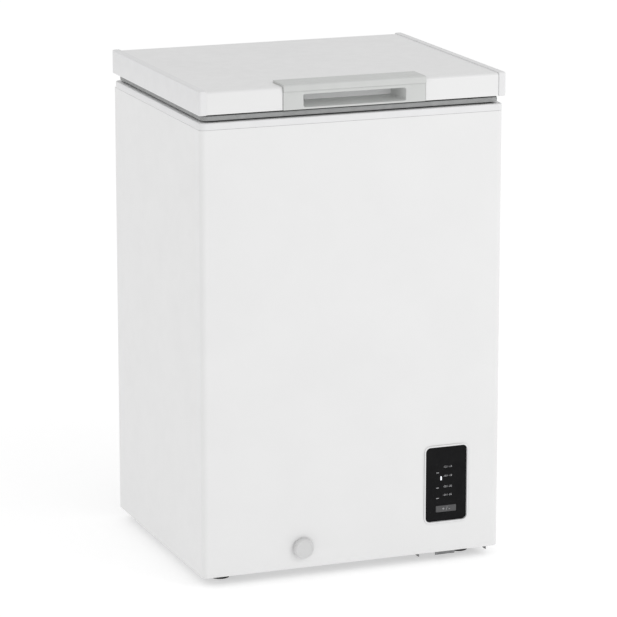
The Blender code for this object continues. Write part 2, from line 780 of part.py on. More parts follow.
def make_control_glass():
    """Black window with a slot for the key and one for the indicator lens."""
    front = BODY_FRONT + GLASS_RECESS
    rings = [panel_ring(BEZEL_WIDTH + TOUCH, y) for y in (front + GLASS, front)]
    glass = lofted("control_glass", rings, "panel_glass", caps=("first", "last"))
    key_z = PANEL_LOW + KEY_BOTTOM + KEY_HEIGHT / 2
    key_x = PANEL_CENTRE_X + KEY_X
    size = (KEY_WIDTH + 2 * KEY_FIT, KEY_HEIGHT + 2 * KEY_FIT)
    boolean(glass, slot_block("key_slot", key_x, key_z, *size, front - 0.01, front + 0.01))
    lens = (LENS_WIDTH + 2 * TOUCH, LENS_HEIGHT + 2 * TOUCH)
    lens_x, lens_z = PANEL_CENTRE_X + LENS_X, PANEL_LOW + LENS_Z
    return boolean(glass, slot_block("lens_slot", lens_x, lens_z, *lens, front - 0.01, front + 0.01))


def make_mode_key():
    """Wide push key, standing just proud of the glass."""
    front = BODY_FRONT + GLASS_RECESS - TOUCH
    centre = Vector((PANEL_CENTRE_X + KEY_X, front, PANEL_LOW + KEY_BOTTOM + KEY_HEIGHT / 2))
    low = (-KEY_WIDTH / 2, 0.0, -KEY_HEIGHT / 2)
    high = (KEY_WIDTH / 2, KEY_DEPTH, KEY_HEIGHT / 2)
    key = block("mode_key", low, high, "key_plastic", 0.0008, axes=(1,))
    key.location = centre
    return key


def make_indicator_lens():
    """Light guide in the glass."""
    front = BODY_FRONT + GLASS_RECESS - TOUCH
    lens_x, lens_z = PANEL_CENTRE_X + LENS_X, PANEL_LOW + LENS_Z
    back = front + GLASS + 0.003
    return slot_block("indicator_lens", lens_x, lens_z, LENS_WIDTH, LENS_HEIGHT, front, back, "lens")


def housing_corners(margin):
    """Front-lower and back-upper corners of the box behind the bezel, moved in by margin."""
    inset = BEZEL_WIDTH - BEZEL_WALL + TOUCH
    half = PANEL_WIDTH / 2 + BEZEL_WIDTH - inset - margin
    front = BODY_FRONT + BEZEL_DEPTH + TOUCH
    low = (PANEL_CENTRE_X - half, front, PANEL_LOW - BEZEL_WIDTH + inset + margin)
    high_z = PANEL_LOW + PANEL_HEIGHT + BEZEL_WIDTH - inset - margin
    return low, (PANEL_CENTRE_X + half, front + HOUSING_DEPTH - margin, high_z)


def make_control_housing():
    """Box behind the bezel, open to the front."""
    bm = block_mesh(*housing_corners(0.0))
    remove_faces(bm, [(0, -1, 0)])
    return thicken(add_bmesh("control_housing", bm, "white_plastic"), HOUSING_WALL)


def switch_front():
    """Depth of the switch's face: the key's back face at full travel."""
    return BODY_FRONT + GLASS_RECESS + KEY_DEPTH + KEY_TRAVEL + TOUCH


def make_key_switch():
    key_z = PANEL_LOW + KEY_BOTTOM + KEY_HEIGHT / 2
    front = switch_front()
    size = (SWITCH_SIZE, SWITCH_SIZE, front, front + SWITCH_SIZE / 2)
    return slot_block("key_switch", PANEL_CENTRE_X + KEY_X, key_z, *size, "black_plastic")


def make_control_board():
    low, high = housing_corners(HOUSING_WALL + BOARD_MARGIN)
    front = switch_front() + SWITCH_SIZE / 2 + TOUCH
    return block("control_board", (low[0], front, low[2]), (high[0], front + BOARD, high[2]), "board")


# ---------------------------------------------------------------- refrigeration
def make_compressor_base_plate():
    """Galvanised plate under the bay: sides turned down, and a tab turned down at the front."""
    front, back = BODY_FRONT + BASE_PLATE_SETBACK, BODY_BACK - BASE_PLATE_SETBACK
    low = (BASE_PLATE_LEFT, front, BASE_TOP - BASE_PLATE_FLANGE)
    bm = block_mesh(low, (BODY_HALF - BASE_PLATE_SIDE, back, BASE_TOP))
    remove_faces(bm, [(0, 1, 0), (0, -1, 0), (0, 0, -1)])
    base = thicken(add_bmesh("compressor_base_plate", bm, "galvanised_steel"), BASE_PLATE_STEEL)
    tab_low = (TAB_LEFT, front - 0.0005, BASE_TOP - BASE_PLATE_FLANGE)
    tab_high = (TAB_RIGHT, front + BASE_PLATE_STEEL, BASE_TOP - BASE_PLATE_STEEL / 3)
    boolean(base, block("tab", tab_low, tab_high, None), "UNION")
    for name, (x, y) in foot_places().items():
        if x > 0:
            bore = rod(name + "_hole", (x, y, 0.0), (x, y, 0.05), STUD_RADIUS + STUD_CLEARANCE, None, 12)
            boolean(base, bore)
    return base


def grommet_places():
    """Plan position of each rubber mount under the compressor."""
    x, y = GROMMET_SPAN_X / 2, GROMMET_SPAN_Y / 2
    signs = [(-1, -1), (1, -1), (-1, 1), (1, 1)]
    return [(COMPRESSOR_X + sx * x, COMPRESSOR_Y + sy * y) for sx, sy in signs]


def make_grommets():
    """Waisted rubber feet between the base plate and the compressor's legs."""
    height = COMPRESSOR_LIFT - 2 * TOUCH
    profile = [
        (0.0, height),
        (GROMMET_RADIUS, height),
        (GROMMET_RADIUS, height * 0.72),
        (GROMMET_RADIUS * 0.72, height * 0.62),
        (GROMMET_RADIUS * 0.72, height * 0.32),
        (GROMMET_RADIUS, height * 0.22),
        (GROMMET_RADIUS, 0.0),
        (0.0, 0.0),
    ]
    for number, (x, y) in enumerate(grommet_places(), 1):
        place = Matrix.Translation((x, y, BASE_TOP + TOUCH))
        turned(f"grommet_{number}", profile, place, "black_rubber", 12)


def make_compressor_legs():
    """Steel plate welded under the compressor, resting on the grommets."""
    margin = GROMMET_RADIUS + 0.002
    half_x, half_y = GROMMET_SPAN_X / 2 + margin, GROMMET_SPAN_Y / 2 + margin
    low = (COMPRESSOR_X - half_x, COMPRESSOR_Y - half_y)
    high = (COMPRESSOR_X + half_x, COMPRESSOR_Y + half_y)
    place = Matrix.Translation((0.0, 0.0, BASE_TOP + COMPRESSOR_LIFT + LEG_STEEL / 2))
    return plate("compressor_legs", [rounded_rectangle(low, high, margin)], LEG_STEEL, place, "black_paint")


def compressor_floor():
    return BASE_TOP + COMPRESSOR_LIFT + LEG_STEEL + TOUCH


def make_compressor_shell():
    """Welded can with a domed top and a rolled seam."""
    r, h, seam = COMPRESSOR_RADIUS, COMPRESSOR_HEIGHT, COMPRESSOR_SEAM
    dome = [(r * math.sin(a), h - DOME * (1 - math.cos(a))) for a in (0, 0.35, 0.7, 1.05, 1.35)]
    profile = dome + [
        (r, h * 0.64),
        (r, h * 0.60),
        (r + seam, h * 0.59),
        (r + seam, h * 0.56),
        (r, h * 0.55),
        (r, h * 0.10),
        (r * 0.88, 0.0),
        (0.0, 0.0),
    ]
    place = Matrix.Translation((COMPRESSOR_X, COMPRESSOR_Y, compressor_floor()))
    return turned("compressor_shell", profile, place, "black_paint", 20)


def make_terminal_cover():
    """Box over the compressor's terminals and start relay, on its front side."""
    width, depth, height = TERMINAL_SIZE
    back = COMPRESSOR_Y - COMPRESSOR_RADIUS - COMPRESSOR_SEAM - 2 * TOUCH
    bottom = compressor_floor() + TERMINAL_LIFT
    low = (COMPRESSOR_X - width / 2, back - depth, bottom)
    high = (COMPRESSOR_X + width / 2, back, bottom + height)
    bm = block_mesh(low, high)
    round_edges(bm, edges_along(bm, 2, lambda m: m.y < back - depth / 2), TERMINAL_CORNER, 2)
    remove_faces(bm, [(0, 1, 0)])
    return thicken(add_bmesh("terminal_cover", bm, "black_plastic"), TERMINAL_WALL)


def smooth_path(points, radius, steps=3):
    """A line through the points, with each bend rounded off."""
    path = [Vector(points[0])]
    for before, at, after in zip(points, points[1:], points[2:]):
        before, at, after = Vector(before), Vector(at), Vector(after)
        reach = min(radius, 0.8 * (before - at).length, 0.8 * (after - at).length)
        start = at + (before - at).normalized() * reach
        end = at + (after - at).normalized() * reach
        for i in range(steps + 1):
            t = i / steps
            path.append((1 - t) ** 2 * start + 2 * t * (1 - t) * at + t * t * end)
    path.append(Vector(points[-1]))
    return path


def make_discharge_tube():
    """From the compressor's side up to the ceiling of the bay, ahead of the condenser."""
    z = compressor_floor() + COMPRESSOR_HEIGHT * 0.35
    x = COMPRESSOR_X - COMPRESSOR_RADIUS - 0.004
    lane = min(BAY_LEFT + 0.012, (BAY_LEFT + COMPRESSOR_X - COMPRESSOR_RADIUS - COMPRESSOR_SEAM) / 2)
    points = [
        (x, COMPRESSOR_Y, z),
        (lane, COMPRESSOR_Y, z),
        (lane, COMPRESSOR_Y, BAY_TOP - 0.020),
        (lane, BODY_FRONT + 0.150, BAY_TOP - 0.020),
    ]
    return tube("discharge_tube", smooth_path(points, 0.010), TUBE_RADIUS, "copper")


def make_suction_tube():
    """From the ceiling of the bay down to the compressor's side."""
    z = compressor_floor() + COMPRESSOR_HEIGHT * 0.45
    x = COMPRESSOR_X + COMPRESSOR_RADIUS + 0.004
    lane = min(x + 0.010, BODY_HALF - STEEL - TUBE_RADIUS - 0.001)
    points = [
        (x, COMPRESSOR_Y, z),
        (lane, COMPRESSOR_Y, z),
        (lane, COMPRESSOR_Y, BAY_TOP - 0.012),
        (COMPRESSOR_X, COMPRESSOR_Y, BAY_TOP - 0.012),
        (COMPRESSOR_X, BODY_FRONT + 0.120, BAY_TOP - 0.012),
    ]
    return tube("suction_tube", smooth_path(points, 0.008), TUBE_RADIUS, "copper")


def drier_line():
    """Ends of the filter drier's barrel, on the wall of the bay ahead of the compressor."""
    x, y = BAY_LEFT + 0.018, BODY_FRONT + 0.130
    low = BODY_BOTTOM + 0.060
    return Vector((x, y, low)), Vector((x, y, low + DRIER_LENGTH))


def make_filter_drier():
    """Copper barrel with necked ends."""
    low, high = drier_line()
    length = (high - low).length
    neck = DRIER_RADIUS * 1.1
    profile = [
        (0.0, length),
        (TUBE_RADIUS, length),
        (DRIER_RADIUS, length - neck),
        (DRIER_RADIUS, neck),
        (TUBE_RADIUS, 0.0),
        (0.0, 0.0),
    ]
    return turned("filter_drier", profile, Matrix.Translation(low), "copper", 16)


def make_capillary_tube():
    """Fine tube from the drier: three loose turns, then up to the ceiling of the bay."""
    low, _ = drier_line()
    radius, turns, per_turn = 0.022, 3, 10
    centre = low + Vector((radius, 0.0, -0.006))
    points = [low - Vector((0.0, 0.0, TOUCH))]
    for i in range(turns * per_turn + 1):
        angle = math.pi + 2 * math.pi * i / per_turn
        drop = 0.0045 * i / per_turn
        points.append(centre + Vector((radius * math.cos(angle), radius * math.sin(angle), -drop)))
    return tube("capillary_tube", points, CAPILLARY_RADIUS, "copper", 1)


def wound_coil(name, inset, corner, low, high, turns, radius, finish):
    """Tube wound inside the cabinet's outline, rising evenly from turn to turn."""
    left, front = -BODY_HALF + inset[0], BODY_FRONT + inset[0]
    right, back = BODY_HALF - inset[0], BODY_BACK - inset[1]
    loop = rounded_rectangle((left, front), (right, back), corner)
    count = len(loop) * turns
    points = []
    for i in range(count + 1):
        x, y = loop[i % len(loop)]
        points.append((x, y, low + (high - low) * i / count))
    return tube(name, points, radius, finish, 1)


def make_evaporator_tube():
    """Wound round the tub above the step, between the liner and the foam."""
    out = LINER + TOUCH + EVAPORATOR_RADIUS
    inset = LINER_INSET - out
    rise = (STEP_TOP + 0.040, LINER_TOP - 0.060)
    coil = (EVAPORATOR_TURNS, EVAPORATOR_RADIUS, "copper")
    return wound_coil("evaporator_tube", (inset, inset), LINER_CORNER + out, *rise, *coil)


def make_condenser_tube():
    """Wound inside the steel wrap, above the bay, where the skin gives off the heat."""
    side = STEEL + TOUCH + CONDENSER_RADIUS
    rear = BODY_BACK - SHELL_BACK + side
    rise = (BAY_TOP + 0.030, SHELL_TOP - 0.080)
    coil = (CONDENSER_TURNS, CONDENSER_RADIUS, "copper")
    return wound_coil("condenser_tube", (side, rear), CONDENSER_BEND, *rise, *coil)


def make_bay_cover():
    """Louvred rear cover of the compressor bay, with a hole for the cord gland."""
    low = (BAY_LEFT - BAY_COVER_MARGIN, BODY_BOTTOM)
    high = (BODY_HALF - SHELL_FLANGE, BAY_TOP + BAY_COVER_MARGIN)
    outlines = [rounded_rectangle(low, high, 0.006, 2)]
    slot_low, slot_high = low[0] + LOUVRE_SIDE, high[0] - LOUVRE_SIDE
    pitch = (high[1] - low[1] - LOUVRE_BOTTOM - LOUVRE_TOP) / LOUVRE_COUNT
    for i in range(LOUVRE_COUNT):
        z = low[1] + LOUVRE_BOTTOM + pitch * i
        top = z + LOUVRE_HEIGHT
        outlines.append([(slot_low, z), (slot_high, z), (slot_high, top), (slot_low, top)])
    outlines.append(circle(gland_place(), GLAND_RADIUS + TOUCH))
    place = facing_front((0.0, BODY_BACK + TOUCH + BAY_COVER / 2, 0.0))
    return plate("bay_cover", outlines, BAY_COVER, place, "galvanised_steel")


def gland_place():
    """x and z of the cord gland in the bay cover."""
    return BAY_LEFT + GLAND_SIDE, BODY_BOTTOM + GLAND_UP


def make_cord_gland():
    """Bush that the mains cord passes through."""
    x, z = gland_place()
    face = BAY_COVER + 2 * TOUCH
    soft = 0.0008
    profile = [
        (GLAND_FLANGE - soft, face + GLAND_LIP),
        (GLAND_FLANGE, face + GLAND_LIP - soft),
        (GLAND_FLANGE, face),
        (GLAND_RADIUS, face),
        (GLAND_RADIUS, -GLAND_DEPTH),
        (CORD_RADIUS, -GLAND_DEPTH),
        (CORD_RADIUS, face + GLAND_LIP),
        (GLAND_FLANGE - soft, face + GLAND_LIP),
    ]
    return turned("cord_gland", profile, facing_back((x, BODY_BACK, z)), "black_rubber", 16)


# ---------------------------------------------------------------- lid
def make_lid_skin():
    """Folded sheet: top, front and back, with a return along the lower edges, let in for the handle."""
    low = (-SKIN_HALF, SKIN_FRONT, LID_BOTTOM + TOUCH)
    high = (SKIN_HALF, SKIN_BACK, SKIN_TOP)
    bm = block_mesh(low, high)
    round_edges(bm, edges_along(bm, 0, lambda m: m.z > LID_BOTTOM + LID_HEIGHT / 2), LID_BEND, 3)
    remove_faces(bm, [(1, 0, 0), (-1, 0, 0), (0, 0, -1)])
    skin = thicken(add_bmesh("lid_skin", bm, "white_paint"), LID_STEEL)
    return boolean(skin, handle_notch("handle_notch_in_skin"))


def handle_notch(name):
    """Cutter for the room that the handle takes in the lid."""
    half = HANDLE_HALF + TOUCH
    low = (-half, LID_FRONT - 0.02, LID_BOTTOM - 0.02)
    return block(name, low, (half, HANDLE_BACK + TOUCH, LID_TOP + 0.02), None)


def make_lid_end_caps():
    """Hollow mouldings that close the ends of the lid."""
    for name, side in (("lid_end_cap_left", -1), ("lid_end_cap_right", 1)):
        edges = sorted((side * (LID_HALF - END_CAP_WIDTH), side * LID_HALF))
        bm = block_mesh((edges[0], LID_FRONT, LID_BOTTOM), (edges[1], LID_BACK, LID_TOP))
        outer = side * LID_HALF
        upright = edges_along(bm, 2, lambda m: abs(m.x - outer) < 0.001)
        upper = edges_along(bm, 1, lambda m: m.z > LID_TOP - 0.001 and abs(m.x - outer) < 0.001)
        across = edges_along(bm, 0, lambda m: m.z > LID_TOP - 0.001)
        round_edges(bm, upright + upper + across, LID_CORNER * 0.6, 3)
        remove_faces(bm, [(-side, 0, 0)])
        thicken(add_bmesh(name, bm, "white_plastic"), END_CAP_WALL)


def make_lid_handle():
    """Moulding let into the front edge: face with a grip pocket, and a visor plate over it."""
    face_top = LID_BOTTOM + HANDLE_FACE_HEIGHT
    low = (-HANDLE_HALF, LID_FRONT, LID_BOTTOM)
    high = (HANDLE_HALF, HANDLE_BACK, face_top + VISOR_THICKNESS / 2)
    handle = block("lid_handle", low, high, "handle_plastic", 0.001, axes=(2,), steps=1)
    visor_low = (-HANDLE_HALF, LID_FRONT - VISOR_LIP, face_top + TOUCH)
    visor_high = (HANDLE_HALF, HANDLE_BACK, LID_TOP + VISOR_PROUD)
    bm = block_mesh(visor_low, visor_high)
    front_edges = edges_along(bm, 0, lambda m: m.y < LID_FRONT)
    round_edges(bm, front_edges, 0.003, 3)
    boolean(handle, add_bmesh("visor", bm, None), "UNION")
    relief_low = (-HANDLE_WIDTH, LID_FRONT + END_CAP_WIDTH, LID_BOTTOM - 0.01)
    relief_high = (HANDLE_WIDTH, HANDLE_BACK + 0.01, LID_BOTTOM + LID_PANEL + 3 * TOUCH)
    boolean(handle, block("liner_relief", relief_low, relief_high, None))
    return boolean(handle, grip_pocket())


def grip_pocket():
    """Cutter for the grip: its floor rises and its ends close in towards the back."""
    z0, z1 = LID_BOTTOM + GRIP_BOTTOM, LID_BOTTOM + GRIP_BOTTOM + GRIP_HEIGHT
    front, back = LID_FRONT, LID_FRONT + GRIP_DEPTH
    half, deep_half = GRIP_WIDTH / 2, GRIP_WIDTH / 2 - GRIP_TAPER
    mouth = rounded_rectangle((-half, z0), (half, z1), 0.003, 2)
    rear = rounded_rectangle((-deep_half, z0 + GRIP_RISE), (deep_half, z1), 0.003, 2)
    ahead = 0.01
    opening = [(x, front - ahead, z) for x, z in mouth]
    rings = [[(x, back, z) for x, z in rear], [(x, front, z) for x, z in mouth], opening]
    return lofted("grip_pocket", rings, None, caps=("first", "last"))


def plug_corner():
    """Corner radius of the inner panel's plug, concentric with the opening of the rim."""
    return TUB_CORNER + WALL - RIM_FLAT - LID_PLUG_GAP


def make_lid_liner():
    """Formed inner panel: flat behind the gasket, and a shallow plug that reaches into the tub."""
    edge = END_CAP_WIDTH + 2 * TOUCH
    overhang = LID_SIDE_OVERHANG
    plug = RIM_FLAT + LID_PLUG_GAP + overhang
    face = LID_BOTTOM + TOUCH
    bottom = BODY_TOP - LID_PLUG_DEPTH
    rings = [
        lid_ring(edge, face, LID_CORNER),
        lid_ring(plug - 0.006, face, plug_corner() + 0.001),
        lid_ring(plug, bottom, plug_corner() - 0.004),
    ]
    rings = [list(reversed(ring)) for ring in rings]
    return thicken(lofted("lid_liner", rings, "white_plastic", caps=("last",)), LID_PANEL)


def make_lid_foam():
    """Foam that fills the lid and the plug of its inner panel."""
    gap = LID_PANEL + 3 * TOUCH
    edge = END_CAP_WIDTH + 2 * TOUCH
    plug = RIM_FLAT + LID_PLUG_GAP + LID_SIDE_OVERHANG + gap
    face = LID_BOTTOM + TOUCH + gap
    bottom = BODY_TOP - LID_PLUG_DEPTH + gap
    rings = [
        lid_ring(plug + 0.001, bottom, plug_corner() - 0.004),
        lid_ring(plug - 0.005, face, plug_corner() + 0.001),
        lid_ring(edge, face, LID_CORNER),
        lid_ring(edge, SKIN_TOP - LID_STEEL - TOUCH - LID_BEND * 0.4, LID_CORNER),
        lid_ring(edge + LID_BEND, SKIN_TOP - LID_STEEL - TOUCH, LID_CORNER),
    ]
    foam = lofted("lid_foam", rings, "foam", caps=("first", "last"))
    return boolean(foam, handle_notch("handle_notch_in_foam"))


def make_lid_gasket():
    """Magnetic seal with two bellows folds, between the rim and the lid."""
    top, bottom = LID_BOTTOM - TOUCH, BODY_TOP + TOUCH
    outer, inner = GASKET_INSET, GASKET_INSET + GASKET_WIDTH
    fold = 0.0015
    profile = [(outer, bottom), (inner, bottom)]
    profile += [(inner, top), (outer, top)]
    for share, depth in ((0.80, 0.0), (0.70, fold), (0.60, 0.0), (0.40, 0.0), (0.30, fold), (0.20, 0.0)):
        profile.append((outer + depth, bottom + share * (top - bottom)))
    rings = [body_ring(inset, z, BODY_CORNER) for inset, z in profile]
    gasket = lofted("lid_gasket", rings, "gasket_rubber", closed_profile=True)
    outward(gasket)
    return gasket


def outward(obj):
    """Turn a closed mesh's faces outwards."""
    bm = bmesh.new()
    bm.from_mesh(obj.data)
    bmesh.ops.recalc_face_normals(bm, faces=bm.faces)
    bm.to_mesh(obj.data)
    bm.free()


# ---------------------------------------------------------------- hinges
def side_view(x):
    """Placement that stands a flat outline (y, z) upright in the YZ plane at x."""
    turn = Matrix(((0, 0, 1, 0), (1, 0, 0, 0), (0, 1, 0, 0), (0, 0, 0, 1)))
    return Matrix.Translation((x, 0.0, 0.0)) @ turn


def make_hinge_bracket(name, x):
    """Folded steel bracket on the rear panel: a back plate and two ears that carry the pin."""
    back = BODY_BACK + BAY_COVER + 2 * TOUCH
    low = PIN_Z - BRACKET_HEIGHT
    high = BODY_TOP - 0.003
    half = BRACKET_WIDTH / 2
    ear_back = PIN_Y + EAR_RADIUS
    bm = block_mesh((x - half, back, low), (x + half, ear_back, high))
    remove_faces(bm, [(0, 1, 0), (0, 0, 1), (0, 0, -1)])
    bracket = thicken(add_bmesh(name, bm, "galvanised_steel"), BRACKET_STEEL)
    ear = [(back + BRACKET_STEEL + 0.001, high - 0.020), (ear_back - 0.0004, high - 0.020)]
    ear += arc((PIN_Y, PIN_Z), EAR_RADIUS - 0.0004, 0, 180, 10)
    for number, side in enumerate((-1, 1)):
        middle = x + side * (half - BRACKET_STEEL / 2)
        thick = BRACKET_STEEL - 0.0004
        tool = plate(f"{name}_ear_{number}", [ear], thick, side_view(middle), None)
        boolean(bracket, tool, "UNION")
    bore = PIN_RADIUS + PIN_CLEARANCE
    ends = ((x - half - 0.01, PIN_Y, PIN_Z), (x + half + 0.01, PIN_Y, PIN_Z))
    return boolean(bracket, rod(name + "_bore", *ends, bore, None, 16))


def make_hinge_pin(name, x):
    """Steel pin through both ears, with a head at each end."""
    half = BRACKET_WIDTH / 2 + TOUCH
    head, head_radius = PIN_HEAD, PIN_RADIUS + PIN_HEAD
    profile = [
        (0.0, half + head),
        (head_radius, half + head),
        (head_radius, half),
        (PIN_RADIUS, half),
        (PIN_RADIUS, -half),
        (head_radius, -half),
        (head_radius, -half - head),
        (0.0, -half - head),
    ]
    place = Matrix.Translation((x, PIN_Y, PIN_Z)) @ Matrix.Rotation(math.radians(90), 4, "Y")
    return turned(name, profile, place, "spring_steel", 16)


def knuckle_span():
    """Knuckle's two ends from the hinge's middle: it leaves room for the spring beside it."""
    start = -BRACKET_WIDTH / 2 + BRACKET_STEEL + 0.001
    return start, start + KNUCKLE_WIDTH


def make_hinge_arm(name, x):
    """Lid leaf: a plate on the lid's back and a knuckle that turns on the pin."""
    face = LID_BACK + TOUCH
    low = (x - ARM_WIDTH / 2, face, LID_BOTTOM + 0.001)
    high = (x + ARM_WIDTH / 2, face + ARM_STEEL, LID_TOP - ARM_TOP_MARGIN)
    arm = block(name, low, high, "galvanised_steel")
    inner, outer = face + 0.0003, face + ARM_STEEL - 0.0003
    outline = [(inner, PIN_Z + 0.001), (inner, LID_BOTTOM + 0.012), (outer, LID_BOTTOM + 0.012)]
    outline += [(outer, PIN_Z + KNUCKLE_RADIUS * 0.9)]
    outline += arc((PIN_Y, PIN_Z), KNUCKLE_RADIUS, 130, -150, 18)
    bore = circle((PIN_Y, PIN_Z), PIN_RADIUS + PIN_CLEARANCE, 16)
    start, end = knuckle_span()
    place = side_view(x + (start + end) / 2)
    knuckle = plate(name + "_knuckle", [outline, bore], end - start, place, None)
    boolean(arm, knuckle, "UNION")
    return arm


def make_hinge_spring(name, x):
    """Torsion spring on the pin beside the knuckle, with one leg down the bracket."""
    _, start = knuckle_span()
    start += SPRING_WIRE / 2 + SPRING_GAP
    end = BRACKET_WIDTH / 2 - BRACKET_STEEL - SPRING_WIRE / 2 - SPRING_GAP
    radius = PIN_RADIUS + PIN_CLEARANCE + SPRING_WIRE / 2 + SPRING_GAP
    per_turn = 10
    count = SPRING_TURNS * per_turn
    points = []
    for i in range(count + 1):
        angle = 2 * math.pi * i / per_turn
        along = x + start + (end - start) * i / count
        points.append((along, PIN_Y + radius * math.cos(angle), PIN_Z + radius * math.sin(angle)))
    leg_x, leg_y, leg_z = points[0]
    points.insert(0, (leg_x, leg_y, leg_z - SPRING_LEG))
    return tube(name, points, SPRING_WIRE / 2, "spring_steel", 1)


def make_hinge_cover(name, x):
    """Plastic box over the bracket, open to the cabinet and at the top."""
    half = BRACKET_WIDTH / 2 + HINGE_COVER_SIDE
    low = (x - half, BODY_BACK + BAY_COVER + 2 * TOUCH, PIN_Z - BRACKET_HEIGHT - 0.006)
    high = (x + half, BODY_BACK + HINGE_REACH, PIN_Z - EAR_RADIUS - 0.002)
    bm = block_mesh(low, high)
    round_edges(bm, edges_along(bm, 2, lambda m: m.y > PIN_Y), 0.004, 2)
    remove_faces(bm, [(0, -1, 0), (0, 0, 1)])
    return thicken(add_bmesh(name, bm, "white_plastic"), HINGE_COVER_WALL)


def make_hinges():
    for label, x in (("left", -HINGE_SPACING / 2), ("right", HINGE_SPACING / 2)):
        make_hinge_bracket(f"hinge_bracket_{label}", x)
        make_hinge_pin(f"hinge_pin_{label}", x)
        make_hinge_spring(f"hinge_spring_{label}", x)
        make_hinge_cover(f"hinge_cover_{label}", x)
        make_hinge_arm(f"hinge_arm_{label}", x)


# ---------------------------------------------------------------- feet and basket
def make_feet():
    """Round levelling feet, each turned in a moulded disc with a stud."""
    top = BASE_TOP - BASE_PLATE_STEEL - TOUCH
    for name, (x, y) in foot_places().items():
        profile = [
            (0.0, BODY_BOTTOM + STUD_LENGTH),
            (STUD_RADIUS, BODY_BOTTOM + STUD_LENGTH),
            (STUD_RADIUS, top),
            (FOOT_RADIUS - 0.002, top),
            (FOOT_RADIUS, top - 0.002),
            (FOOT_RADIUS - 0.002, 0.0),
            (0.0, 0.0),
        ]
        turned(name, profile, Matrix.Translation((x, y, 0.0)), "black_rubber", 20)


def basket_corners():
    """Lowest and highest corner of the basket's mesh, at the left end of the tub."""
    left = -BODY_HALF + WALL + BASKET_SIDE_GAP
    front, back = BODY_FRONT + WALL + BASKET_END_GAP, BODY_BACK - WALL - BASKET_END_GAP
    top = BODY_TOP - LEDGE_DROP + BASKET_WIRE / 2 + TOUCH
    return Vector((left, front, top - BASKET_HEIGHT)), Vector((left + BASKET_WIDTH, back, top))


def make_storage_basket():
    """Hanging wire basket: a coarse open box with a lip at front and back, made into wires."""
    low, high = basket_corners()
    size = high - low
    bm = bmesh.new()
    corners = {}

    def corner(i, j, k, lip=0.0):
        key = (i, j, k, lip)
        if key not in corners:
            share = [n / c for n, c in zip((i, j, k), BASKET_CELLS)]
            spot = Vector([low[a] + size[a] * share[a] for a in range(3)])
            corners[key] = bm.verts.new(spot + Vector((0.0, lip, 0.0)))
        return corners[key]

    nx, ny, nz = BASKET_CELLS
    reach = BASKET_END_GAP + (WALL - RIM_FLAT) - BASKET_WIRE
    for i in range(nx):
        for j in range(ny):
            bm.faces.new([corner(*c, 0) for c in ((i, j), (i, j + 1), (i + 1, j + 1), (i + 1, j))])
        for k in range(nz):
            for j in (0, ny):
                bm.faces.new([corner(i + a, j, k + b) for a, b in ((0, 0), (1, 0), (1, 1), (0, 1))])
        for j, lip in ((0, -reach), (ny, reach)):
            inner = [corner(i, j, nz), corner(i + 1, j, nz)]
            outer = [corner(i + 1, j, nz, lip), corner(i, j, nz, lip)]
            bm.faces.new(inner + outer)
    for j in range(ny):
        for k in range(nz):
            for i in (0, nx):
                bm.faces.new([corner(i, j + a, k + b) for a, b in ((0, 0), (1, 0), (1, 1), (0, 1))])
    bmesh.ops.recalc_face_normals(bm, faces=bm.faces)
    basket = add_bmesh("storage_basket", bm, "coated_wire")
    wires = basket.modifiers.new("wires", "WIREFRAME")
    wires.thickness = BASKET_WIRE
    wires.use_replace = True
    wires.use_boundary = True
    wires.use_even_offset = False
    return basket


# ---------------------------------------------------------------- the whole object
def main():
    make_outer_shell()
    make_rear_panel()
    make_base_panel()
    make_top_frame()
    make_inner_liner()
    make_insulation_foam()
    make_bay_partition()
    make_drain_tube()
    make_drain_cap()
    make_drain_plug()
    make_control_bezel()
    make_control_glass()
    make_mode_key()
    make_indicator_lens()
    make_control_housing()
    make_key_switch()
    make_control_board()
    make_compressor_base_plate()
    make_grommets()
    make_compressor_legs()
    make_compressor_shell()
    make_terminal_cover()
    make_discharge_tube()
    make_suction_tube()
    make_filter_drier()
    make_capillary_tube()
    make_evaporator_tube()
    make_condenser_tube()
    make_bay_cover()
    make_cord_gland()
    make_lid_skin()
    make_lid_end_caps()
    make_lid_handle()
    make_lid_liner()
    make_lid_foam()
    make_lid_gasket()
    make_hinges()
    make_feet()
    make_storage_basket()


clear_scene()
PARTS = new_collection("chest_freezer")
CUTTERS = new_collection("cutters")
main()
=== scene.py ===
"""Fine outer pieces, finishes, light and camera for a small chest freezer.

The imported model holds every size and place. Each operator below makes one piece or one group of pieces
around it, in metres, in the same frame: +Z up, front towards -Y.
"""

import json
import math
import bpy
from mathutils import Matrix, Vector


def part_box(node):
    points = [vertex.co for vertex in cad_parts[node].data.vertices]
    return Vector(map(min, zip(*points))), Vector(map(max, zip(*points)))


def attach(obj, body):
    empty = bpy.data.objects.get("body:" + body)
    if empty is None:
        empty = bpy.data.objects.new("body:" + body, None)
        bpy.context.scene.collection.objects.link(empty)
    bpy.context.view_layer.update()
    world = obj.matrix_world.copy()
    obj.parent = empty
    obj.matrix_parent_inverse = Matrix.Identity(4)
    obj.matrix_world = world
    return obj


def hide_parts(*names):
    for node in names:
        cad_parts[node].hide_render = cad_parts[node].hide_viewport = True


bl_info = {
    "name": "Chest freezer finish",
    "version": (1, 0, 0),
    "blender": (4, 5, 0),
    "location": "View3D > Sidebar > Freezer",
    "description": "Adds the sheet metal, mouldings, seals, wires and finishes of a small chest freezer",
    "category": "Object",
}

import bmesh
import bpy
import numpy as np
from bpy.props import FloatProperty, FloatVectorProperty, IntProperty, PointerProperty
from bpy.types import Operator, Panel, PropertyGroup
from mathutils import Matrix

